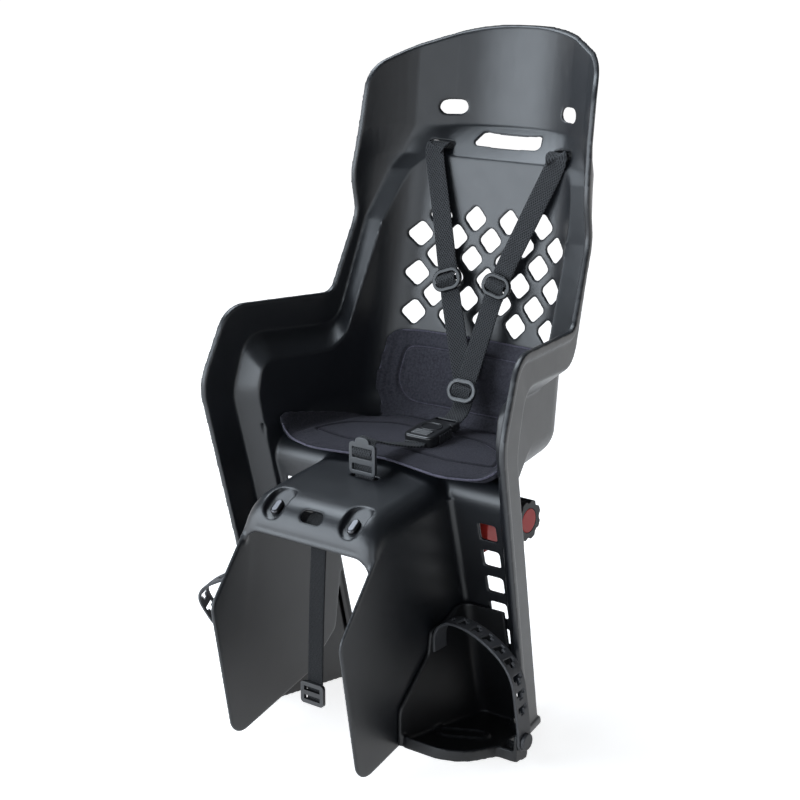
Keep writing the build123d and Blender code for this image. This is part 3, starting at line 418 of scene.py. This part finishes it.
grey_plastic = moulded_plastic(
    "grey_plastic", (0.035, 0.037, 0.040), (0.050, 0.052, 0.056), (0.30, 0.42), 2200.0, 0.05 * mm,
    painted_edge_highlight=(0.09, 0.092, 0.098), **{"Specular IOR Level": 0.5},
)
clamp_plastic = moulded_plastic(
    "clamp_plastic", (0.014, 0.014, 0.015), (0.022, 0.022, 0.023), (0.42, 0.55), 2000.0, 0.06 * mm,
    painted_edge_highlight=(0.04, 0.04, 0.042), **{"Specular IOR Level": 0.35},
)
red_plastic = moulded_plastic(
    "red_plastic", (0.50, 0.012, 0.010), (0.62, 0.020, 0.014), (0.34, 0.46), 2000.0, 0.05 * mm,
    painted_edge_highlight=(0.7, 0.05, 0.04), **{"Specular IOR Level": 0.4},
)
strap_rubber = moulded_plastic(
    "strap_rubber", (0.034, 0.034, 0.037), (0.050, 0.050, 0.054), (0.46, 0.60), 2600.0, 0.08 * mm,
    painted_edge_highlight=(0.085, 0.085, 0.09), **{"Specular IOR Level": 0.45},
)
lining_rubber = moulded_plastic(
    "lining_rubber", (0.016, 0.016, 0.016), (0.026, 0.026, 0.026), (0.62, 0.78), 1600.0, 0.1 * mm,
)
steel = moulded_plastic(
    "steel", (0.42, 0.43, 0.45), (0.58, 0.59, 0.60), (0.24, 0.38), 3000.0, 0.03 * mm, Metallic=1.0,
)
blackened_steel = moulded_plastic(
    "blackened_steel", (0.05, 0.05, 0.055), (0.08, 0.08, 0.085), (0.22, 0.34), 3000.0, 0.03 * mm,
    painted_edge_highlight=(0.14, 0.14, 0.15), Metallic=1.0,
)
webbing = woven("webbing", (0.003, 0.003, 0.0035), (0.070, 0.072, 0.077), 3.0, 1.0 * mm, radians(38))
ribbed_webbing = woven(
    "ribbed_webbing", (0.005, 0.005, 0.006), (0.034, 0.034, 0.036), 5.0, 1.0 * mm, radians(90)
)
# The seat's felt is a darker copy of the back's felt: painted shade on the upward facing seat pad
seat_felt_painted_shade = felt("seat_felt_painted_shade", (0.012, 0.0115, 0.0145), (0.031, 0.030, 0.036), 0.12)
back_felt = felt("back_felt", (0.026, 0.025, 0.031), (0.066, 0.064, 0.077), 0.16)
# Pale felt for the stitching and the edge tube; along the pad's edge the paleness is partly a painted
# highlight
pale_thread_and_edge_highlight = felt("pale_thread_and_edge_highlight", (0.06, 0.055, 0.075), (0.12, 0.112, 0.145), 0.25)


# Moulded pieces

moulded("shell", shell_mould, shell_plastic)
for hand in ("left_", "right_"):
    moulded(hand + "footrest", footrest_mould, foot_plastic)
    moulded(hand + "strap_adjuster", small_mould, adjuster_plastic)
    moulded(hand + "strap_peg", small_mould, strap_rubber)
moulded("joining_ring", small_mould, grey_plastic)
moulded("crotch_adjuster", small_mould, grey_plastic)
moulded("buckle_tongue", small_mould, buckle_plastic)
moulded("clamp_knob", small_mould, clamp_plastic)


# Webbing


def smooth_line(points, steps):
    """Evenly stepped Catmull-Rom line through all the points."""
    points = np.asarray(points, float)
    ends = np.vstack([2 * points[0] - points[1], points, 2 * points[-1] - points[-2]])
    line = []
    for a, b, c, d in zip(ends, ends[1:], ends[2:], ends[3:]):
        for t in np.linspace(0, 1, steps, endpoint=False):
            square = (2 * a - 5 * b + 4 * c - d) * t**2
            cube = (3 * b - a - 3 * c + d) * t**3
            line.append(0.5 * (2 * b + (c - a) * t + square + cube))
    line.append(points[-1])
    return np.array(line)


def smooth_route(stations, steps):
    """Smooth lines through the stations' points and through their outward sides."""
    points, sides = zip(*stations)
    return smooth_line(points, steps), smooth_line(sides, steps)


def unit(vectors):
    return vectors / np.linalg.norm(vectors, axis=-1, keepdims=True)


def distances(line):
    """Distance of each point of a line from its start, along the line."""
    return np.concatenate([[0], np.cumsum(np.linalg.norm(np.diff(line, axis=0), axis=1))])


def line_frames(line, outward):
    """Side and outward directions at each point of a line."""
    along = unit(np.gradient(line, axis=0))
    side = unit(np.cross(along, outward))
    return side, unit(np.cross(side, along))


def flat_section(width, thickness):
    """Webbing's cross-section: flat, with round selvedges."""
    half, rise = width / 2, thickness / 2
    across = np.linspace(rise - half, half - rise, section_columns)
    top = [(x, rise) for x in across]
    right = [(half - rise + rise * cos(turn), rise * sin(turn)) for turn in selvedge]
    bottom = [(x, -rise) for x in across[::-1]]
    left = [(rise - half - rise * cos(turn), rise * sin(turn)) for turn in selvedge[::-1]]
    return np.array(top + right + bottom + left)


def skin(rings, sides, closed=False):
    """Faces between rings of points, and from the last ring to the first where it is closed."""
    faces = []
    for ring in range(rings if closed else rings - 1):
        near, far = ring * sides, (ring + 1) % rings * sides
        for step in range(sides):
            following = (step + 1) % sides
            faces.append((near + step, near + following, far + following, far + step))
    return faces


def tape(name, line, outward, width, thickness):
    """Closed ribbon along a line, with u across it and v along it."""
    side, facing = line_frames(line, outward)
    section = flat_section(width, thickness)
    count = len(section)
    rings = line[:, None] + section[:, 0, None] * side[:, None] + section[:, 1, None] * facing[:, None]
    faces = skin(len(line), count)
    faces.append(tuple(reversed(range(count))))
    faces.append(tuple(range((len(line) - 1) * count, len(line) * count)))
    piece = mesh_piece(name, rings.reshape(-1, 3), faces)
    run = distances(line)
    layer = piece.data.uv_layers.new(name="weave")
    for loop in piece.data.loops:
        ring, step = divmod(loop.vertex_index, count)
        layer.data[loop.index].uv = (section[step, 0] / width + 0.5, run[ring] / width)
    return piece


def strap(name, node, stations):
    """Harness strap through stations, each a point and its outward side."""
    line, outward = smooth_route(stations, webbing_steps)
    piece = tape(name, line * mm, unit(outward), webbing_width, webbing_thickness)
    dressed(piece, webbing)
    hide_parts(node)
    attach(piece, "seat")


ring_facing = np.array((0, -cos(ring_lean), sin(ring_lean)))
shelf_route = [
    ((82.6, 145.7, 363.7), (0.188, 0.615, 0.766)),
    ((79.4, 135.5, 372.7), (0.188, 0.615, 0.766)),
    ((77.5, 129.1, 375.7), (0, -0.3, 1)),
    ((79.0, 122.8, 373.0), (0, -0.8, 0.6)),
    ((79.0, 120.8, 362.0), (0, -1, 0.1)),
]
joined_route = [
    ((10, 57, 115.4), ring_facing),
    ((10, 52.5, 103.2), ring_facing),
    ((11.5, 43, 95), (0, -0.7, 0.7)),
    ((13, 27.3, 89.8), (0, -0.3, 1)),
    ((13, 22.3, 89.2), (0, -0.12, 1)),
]
crotch_route = [
    ((0, -110, 52.2), (0, -1, 0)),
    ((0, -110, 70), (0, -1, 0)),
    ((0, -110.4, 79), (0, -1, 0)),
    ((0, -114.6, 83), (0, -1, 0)),
    ((0, -115.6, 86), (0, -1, 0)),
    ((0, -114.2, 89), (0, -1, 0)),
    ((0, -109.2, 93), (0, -0.9, 0.4)),
    ((0, -102, 98), (0, -0.3, 1)),
    ((4.3, -84, 90), (0, 0.4, 1)),
    ((13, -47.8, 80.6), (0, 0.1, 1)),
    ((13, -38.4, 81.7), (0, -0.12, 1)),
]


def mirrored(stations, side):
    flip = np.array((side, 1, 1))
    return [(flip * point, flip * outward) for point, outward in stations]


def shoulder_route(side, adjuster, layer):
    """Behind the shelf, through its slot, through the adjuster and into the joining ring."""
    adjuster = np.array(adjuster, float)
    bend_x = bend_shares[0] * side * slot_middle + bend_shares[1] * adjuster[0]
    bend = np.array((bend_x, adjuster[1] + bend_back, adjuster[2] + bend_rise))
    foot = np.array(ring_spot, float)
    up = unit(bend - foot)
    facing = unit(np.cross((1, 0, 0), up))
    ring_layer = foot - ring_facing * (first_layer + layer_pitch * layer)
    run = adjuster - ring_layer
    run = unit(run - ring_facing * run.dot(ring_facing))
    stations = mirrored(shelf_route, side) + [
        (bend, (0, -1, 0.2)),
        (adjuster + up * adjuster_clear, facing),
        (adjuster + up * adjuster_edge, facing),
        (adjuster + up * adjuster_bar + facing * adjuster_lift, facing),
        (adjuster - up * adjuster_bar + facing * adjuster_lift, facing),
        (adjuster - up * adjuster_edge, facing),
        (adjuster - up * adjuster_clear, facing),
        (ring_layer + run * ring_clear, (0, -1, 0.5)),
        (ring_layer + run * ring_edge, ring_facing),
    ]
    if layer == 0:
        stations += [
            (ring_layer + run * ring_bar + ring_facing * ring_lift, ring_facing),
            (ring_layer - run * ring_bar + ring_facing * ring_lift, ring_facing),
        ]
    stations.append((ring_layer - run * ring_edge, ring_facing))
    return stations


strap("left_shoulder_webbing", "left_shoulder_strap", shoulder_route(1, left_adjuster, 0))
strap("right_shoulder_webbing", "right_shoulder_strap", shoulder_route(-1, right_adjuster, 1))
strap("joined_webbing", "joined_strap", joined_route)
strap("crotch_webbing", "crotch_strap", crotch_route)


# Foot straps

strap_start = [
    ((92.2, -103, -113), (-1, 0, 0)),
    ((92.2, -103, -95), (-1, 0, 0.2)),
    ((99.2, -103, -83), (-0.6, 0, 1)),
    ((115.2, -104, -76), (-0.2, 0, 1)),
]
snug_arch = [
    ((145.2, -108, -79), (0.2, 0, 1)),
    ((178.2, -114, -92), (0.6, 0, 1)),
    ((194.8, -114, -113), (1, 0, 0.3)),
    ((197.8, -109, -146), (1, 0, 0)),
]
loose_arch = [
    ((150.0, -116, -79), (0.2, -0.1, 1)),
    ((186.0, -133, -91), (0.6, -0.3, 1)),
    ((206.0, -142, -108), (1, -0.3, 0.2)),
    ((204.0, -132, -134), (1, -0.2, -0.2)),
    ((199.0, -112, -162), (1, 0, -0.1)),
]
strap_end = [
    ((197.8, -103, -178), (1, 0, 0)),
    ((197.8, -103, -196), (1, 0, 0)),
]


def slotted(along, across):
    """Whether a spot of the strap lies in one of its T-shaped slots."""
    place = (along - slot_first) % slot_pitch
    number = (along - slot_first) // slot_pitch
    if not 0 <= number < slot_count:
        return False
    in_bar = place < slot_bar[1] and abs(across) < slot_bar[0] / 2
    in_stem = slot_bar[1] <= place < slot_bar[1] + slot_stem[1] and abs(across) < slot_stem[0] / 2
    return in_bar or in_stem


def resampled(marks, run, line):
    """Points of a line at given distances along it."""
    return np.stack([np.interp(marks, run, line[:, axis]) for axis in range(3)], axis=1)


def foot_strap(side, body, name, node, arch):
    """Slotted rubber strap over the instep, from the side wall to its round end on the peg."""
    dense, turned = smooth_route(mirrored(strap_start + arch + strap_end, side), strap_steps)
    dense = dense * mm
    run = distances(dense)
    rows = int(run[-1] / strap_cell)
    columns = int(strap_width / strap_cell)
    marks = np.linspace(0, run[-1], rows + 1)
    line = resampled(marks, run, dense)
    across, facing = line_frames(line, unit(resampled(marks, run, unit(turned))))
    half = strap_width / 2
    beyond = np.clip((marks - (run[-1] - end_setback * half)) / half, 0, end_limit)
    widths = half * np.sqrt(1 - beyond**2)
    share = np.linspace(-1, 1, columns + 1)
    grid = line[:, None] + share[None, :, None] * widths[:, None, None] * across[:, None]
    faces = []
    for row in range(rows):
        along = (marks[row] + marks[row + 1]) / 2
        for column in range(columns):
            if slotted(along, (share[column] + share[column + 1]) / 2 * half):
                continue
            corner = row * (columns + 1) + column
            faces.append((corner, corner + 1, corner + columns + 2, corner + columns + 1))
    piece = mesh_piece(name, grid.reshape(-1, 3), faces)
    thick = piece.modifiers.new("thick", "SOLIDIFY")
    thick.thickness = strap_thickness
    thick.offset = 0
    refine(piece)
    settle(piece)
    smooth_shaded(piece.data)
    dressed(piece, strap_rubber)
    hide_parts(node)
    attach(piece, body)


foot_strap(1, "left_foot", "left_slotted_strap", "left_foot_strap", snug_arch)
foot_strap(-1, "right_foot", "right_slotted_strap", "right_foot_strap", loose_arch)


# Safety strap, which hangs from its bar under the nose

safety_route = [
    (0, -186.48, 30.52),
    (0, -184.19, 27.24),
    (0, -186.48, 0.52),
    (0, -191.48, -68.74),
    (0, -195.48, -168.0),
]


def nurbs_line(points):
    """Points read from a NURBS spline with the route's points as its control points."""
    curve = bpy.data.curves.new("route", "CURVE")
    curve.dimensions = "3D"
    curve.resolution_u = safety_steps
    spline = curve.splines.new("NURBS")
    spline.points.add(len(points) - 1)
    for spot, point in zip(spline.points, points):
        spot.co = (*(value * mm for value in point), 1)
    spline.order_u = safety_order
    spline.use_endpoint_u = True
    holder = linked("route", curve)
    graph = bpy.context.evaluated_depsgraph_get()
    mesh = bpy.data.meshes.new_from_object(holder.evaluated_get(graph))
    line = np.array([vertex.co for vertex in mesh.vertices])
    bpy.data.objects.remove(holder)
    return line


safety_line = nurbs_line(safety_route)
front = np.tile((0.0, -1.0, 0.0), (len(safety_line), 1))
safety_strap = tape("safety_webbing", safety_line, front, safety_width, safety_thickness)
dressed(safety_strap, ribbed_webbing)
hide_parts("safety_strap")
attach(safety_strap, "seat")


def bar_loop_line():
    """Closed loop round the bar's section, puffed up under the nose's slot."""
    half, under, over = bar_loop
    slope = np.array((0, cos(bar_lean), sin(bar_lean)))
    facing = np.array((0, -sin(bar_lean), cos(bar_lean)))
    line, outward = [], []
    for turn in np.linspace(0, 2 * pi, bar_loop_steps, endpoint=False):
        side = half * cos(turn)
        rise = over if sin(turn) > 0 else under
        rise = rise * np.sign(sin(turn)) * abs(sin(turn)) ** bar_loop_squareness
        line.append(np.array(bar_middle) + side * slope + rise * facing)
        outward.append(side * slope + bar_loop_facing * rise * facing)
    return np.array(line + line[:1]) * mm, np.array(outward + outward[:1])


sewn_loop = tape("safety_loop", *bar_loop_line(), safety_width, safety_thickness)
dressed(sewn_loop, ribbed_webbing)
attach(sewn_loop, "seat")


# Pads


def vertex_places(mesh):
    return np.array([vertex.co for vertex in mesh.vertices])


def move_vertices(mesh, points):
    mesh.vertices.foreach_set("co", points.astype(np.float32).ravel())


def top_share(mesh):
    """Each vertex, its normal, and how far it faces the child."""
    points = vertex_places(mesh)
    normals = np.array([vertex.normal for vertex in mesh.vertices])
    towards = unit(np.array(pad_focus) - points)
    return points, normals, np.sum(normals * towards, axis=1)


def swell(pad):
    """Fills the pad's top by cloth simulation; its underside and edge stay on the shell."""
    points, _, facing = top_share(pad.data)
    pinned = [int(index) for index in np.nonzero(facing < held_share)[0]]
    pad.vertex_groups.new(name="held").add(pinned, 1.0, "REPLACE")
    cloth = pad.modifiers.new("cloth", "CLOTH")
    cloth.settings.use_pressure = True
    cloth.settings.uniform_pressure_force = pad_pressure
    cloth.settings.vertex_group_mass = "held"
    cloth.settings.effector_weights.gravity = 0
    cloth.settings.tension_stiffness = pad_stiffness
    cloth.settings.compression_stiffness = pad_stiffness
    for step in range(1, pad_frames + 1):
        scene.frame_set(step)
    settle(pad)
    scene.frame_set(1)
    moved = vertex_places(pad.data) - points
    size = np.linalg.norm(moved, axis=1, keepdims=True)
    moved *= pad_swell / np.maximum(size, pad_swell)
    move_vertices(pad.data, points + moved)
    pad.data.update()


def eased(loop, rounds):
    """The loop with its unevenness smoothed out."""
    for _ in range(rounds):
        loop = (np.roll(loop, 1, axis=0) + 2 * loop + np.roll(loop, -1, axis=0)) / 4
    return loop


def border(points, plan, centre):
    """The pad's edge, as a smooth closed loop round a centre in its plan."""
    flat = points[:, plan] - np.array(centre)
    angle = np.arctan2(flat[:, 1], flat[:, 0])
    reach = np.linalg.norm(flat, axis=1)
    loop = []
    for turn in np.linspace(-pi, pi, edge_steps, endpoint=False):
        near = np.abs((angle - turn + pi) % (2 * pi) - pi) < edge_window * pi / edge_steps
        outer = near & (reach > reach[near].max() - edge_band)
        loop.append(points[outer].mean(axis=0))
    return eased(np.array(loop), edge_rounds)


def laid(contour, plan, points):
    """Contour of a plan laid on the surface points under it."""
    rise = 3 - sum(plan)
    line = np.zeros((len(contour), 3))
    line[:, plan] = contour
    for spot, flat in zip(line, contour):
        away = np.linalg.norm(points[:, plan] - flat, axis=1)
        near = np.argsort(away)[:seam_neighbours]
        share = 1 / (away[near] + seam_nearness)
        spot[rise] = (points[near, rise] * share).sum() / share.sum()
    return eased(line, seam_rounds)


def distance_to_loop(flat, loop):
    """Distance of flat points from a closed polygon."""
    best = np.full(len(flat), np.inf)
    for start, along in zip(loop, np.roll(loop, -1, axis=0) - loop):
        share = np.clip(((flat - start) @ along) / (along @ along), 0, 1)
        best = np.minimum(best, np.linalg.norm(flat - start - share[:, None] * along, axis=1))
    return best


def round_tube(name, loop, radius):
    """Closed tube along a loop."""
    along = unit(np.roll(loop, -1, axis=0) - np.roll(loop, 1, axis=0))
    first = unit(np.cross(along, unit(np.array(pad_focus) - loop)))
    second = np.cross(first, along)
    turns = np.linspace(0, 2 * pi, tube_sides, endpoint=False)
    rings = loop[:, None] + radius * (
        np.cos(turns)[None, :, None] * first[:, None] + np.sin(turns)[None, :, None] * second[:, None]
    )
    return mesh_piece(name, rings.reshape(-1, 3), skin(len(loop), tube_sides, closed=True))


def pad(node, name, plan, centre, seam, fabric):
    """Felt pad with a sewn contour and a bound edge."""
    piece = copied(node, name)
    soften(piece, pad_voxel, pad_rounds)
    edge = border(vertex_places(piece.data), plan, centre)
    swell(piece)
    refine(piece)
    settle(piece)
    points, normals, facing = top_share(piece.data)
    on_top = facing > top_limit
    contour = np.array(centre) + (edge[:, plan] - np.array(centre)) * np.array(seam)
    beside = distance_to_loop(points[:, plan], contour)
    near = np.clip(1 - (beside / seam_half_width) ** 2, 0, 1) ** 2
    sunk = points - normals * (seam_depth * near * on_top)[:, None]
    move_vertices(piece.data, sunk)
    smooth_shaded(piece.data)
    dressed(piece, fabric)
    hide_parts(node)
    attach(piece, "seat")
    seam_line = laid(contour, plan, sunk[on_top])
    # The edge tube's pale colour is partly a painted highlight along the pad's edge
    for part, loop, radius in (("_binding", edge, piping_radius), ("_stitching", seam_line, stitch_radius)):
        thread = round_tube(name + part, loop, radius)
        dressed(thread, pale_thread_and_edge_highlight)
        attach(thread, "seat")


pad("seat_pad", "seat_cushion", [0, 1], seat_middle, seat_seam, seat_felt_painted_shade)
pad("back_pad", "back_cushion", [0, 2], back_middle, back_seam, back_felt)


# Raised mouldings on the buckle's top: middle, half width and half length in millimetres

mouldings = {
    "buckle_frame": (7, 12, 9),
    "buckle_ridge_1": (-6, 11, 1),
    "buckle_ridge_2": (-10, 11, 1),
    "buckle_ridge_3": (-14, 11, 1),
}


def buckle_loop(middle, half_width, half_length):
    """Rounded outline on the buckle's top face."""
    back = np.array((0, cos(buckle_lean), sin(buckle_lean)))
    up = np.array((0, -sin(buckle_lean), cos(buckle_lean)))
    corner = min(half_width, half_length)
    loop = []
    for turn in np.linspace(0, 2 * pi, ridge_steps, endpoint=False):
        x = np.sign(cos(turn)) * (half_width - corner) + corner * cos(turn)
        y = np.sign(sin(turn)) * (half_length - corner) + corner * sin(turn)
        loop.append(np.array(buckle_spot) + np.array((x, 0, 0)) + (middle + y) * back + buckle_top * up)
    return np.array(loop) * mm


for name, outline in mouldings.items():
    ridge = round_tube(name, buckle_loop(*outline), ridge_radius)
    dressed(ridge, buckle_plastic)
    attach(ridge, "seat")


# CAD nodes that stay, with rounded edges and their own finish

kept = {
    "clamp_housing": clamp_plastic,
    "left_jaw": red_plastic,
    "right_jaw": red_plastic,
    "left_jaw_lining": lining_rubber,
    "right_jaw_lining": lining_rubber,
    "left_guide_pins": steel,
    "right_guide_pins": steel,
    "clamp_screw": steel,
    "clamp_bolts": steel,
    "clamp_nuts": steel,
    "knob_face": red_plastic,
    "nose_bolts": blackened_steel,
    "nose_nuts": steel,
    "safety_strap_bar": steel,
    "left_strap_anchor": clamp_plastic,
    "right_strap_anchor": clamp_plastic,
    "crotch_anchor": clamp_plastic,
    "safety_strap_buckle": buckle_plastic,
    "buckle_housing": buckle_plastic,
    "left_buckle_button": buckle_plastic,
    "right_buckle_button": buckle_plastic,
}
for name, material in kept.items():
    piece = nodes[name]
    for place in piece.material_slots:
        place.material = material
    bevel = piece.modifiers.new("edge", "BEVEL")
    bevel.width = edge_width
    bevel.segments = edge_segments
    bevel.limit_method = "ANGLE"
    bevel.angle_limit = edge_angle


# Studio: wide pale floor that fills the picture, dim surroundings and soft lamps

floor_reach = 40.0
floor_height = cad_low.z - 0.5 * mm
floor_colour = (0.80, 0.80, 0.80, 1)
floor_glow = (0.8, 1.0)
floor_ring = (1.2, 3.0)
backdrop_reach = 36.0
backdrop_height = 7.5
backdrop_sides = 96
world_colour = (0.92, 0.96, 1.0, 1)
world_strength = 0.10
lamp_tint = (0.82, 0.91, 1.0)
lamp_aim = (0.0, 0.0, 0.15)
# Lamps: place, width and height, and power in watts
lamps = {
    "key": ((-1.25, -2.0, 0.65), (2.7, 1.1), 66),
    "top": ((-0.95, 0.0, 1.7), (1.1, 1.1), 32),
    "front": ((1.45, -2.15, 0.8), (1.3, 1.3), 14),
}


def glowing_paint(name):
    """Pale paint that looks white far from the object and takes its shadow near it."""
    material, tree, shader = start_material(name)
    set_constants(shader, {"Base Color": floor_colour, "Roughness": 0.9, "Specular IOR Level": 0.0})
    path = add_node(tree, "ShaderNodeLightPath").outputs
    seen = path["Is Camera Ray"]
    for kind in ("Is Glossy Ray", "Is Transmission Ray"):
        seen = math_node(tree, "MAXIMUM", seen, path[kind])
    place = add_node(tree, "ShaderNodeTexCoord").outputs["Object"]
    away = add_node(tree, "ShaderNodeVectorMath", {0: place}, operation="LENGTH").outputs["Value"]
    limits = {
        "Value": away,
        "From Min": floor_ring[0],
        "From Max": floor_ring[1],
        "To Min": floor_glow[0],
        "To Max": floor_glow[1],
    }
    level = add_node(tree, "ShaderNodeMapRange", limits).outputs["Result"]
    shader.inputs["Emission Color"].default_value = (1, 1, 1, 1)
    tree.links.new(math_node(tree, "MULTIPLY", seen, level), shader.inputs["Emission Strength"])
    return material


floor_paint = glowing_paint("floor_paint")
corners = [(-1, -1), (1, -1), (1, 1), (-1, 1)]
floor = mesh_piece(
    "floor", [(x * floor_reach, y * floor_reach, floor_height) for x, y in corners], [(0, 1, 2, 3)]
)
floor.data.materials.append(floor_paint)

turns = np.linspace(0, 2 * pi, backdrop_sides, endpoint=False)
wall = [
    (backdrop_reach * cos(turn), backdrop_reach * sin(turn), level)
    for level in (floor_height, floor_height + backdrop_height)
    for turn in turns
]
backdrop = mesh_piece("backdrop", wall, skin(2, backdrop_sides))
backdrop.data.materials.append(floor_paint)

world = bpy.data.worlds.new("studio")
scene.world = world
world.use_nodes = True
surroundings = world.node_tree.nodes["Background"]
surroundings.inputs["Color"].default_value = world_colour
surroundings.inputs["Strength"].default_value = world_strength


def turned_to(direction):
    """Rotation that points a lamp or camera in a direction."""
    return Vector(direction).to_track_quat("-Z", "Y").to_euler()


for name, (place, size, power) in lamps.items():
    data = bpy.data.lights.new(name, "AREA")
    data.energy = power
    data.color = lamp_tint
    data.shape = "RECTANGLE"
    data.size, data.size_y = size
    lamp = linked(name, data)
    lamp.location = place
    lamp.rotation_euler = turned_to(Vector(lamp_aim) - Vector(place))

camera_data = bpy.data.cameras.new("camera")
camera_data.lens = camera_lens
camera_data.sensor_width = camera_sensor
camera = linked("camera", camera_data)
camera.location = camera_place
camera.rotation_euler = turned_to(camera_look)
scene.camera = camera
scene.view_settings.view_transform = "Standard"
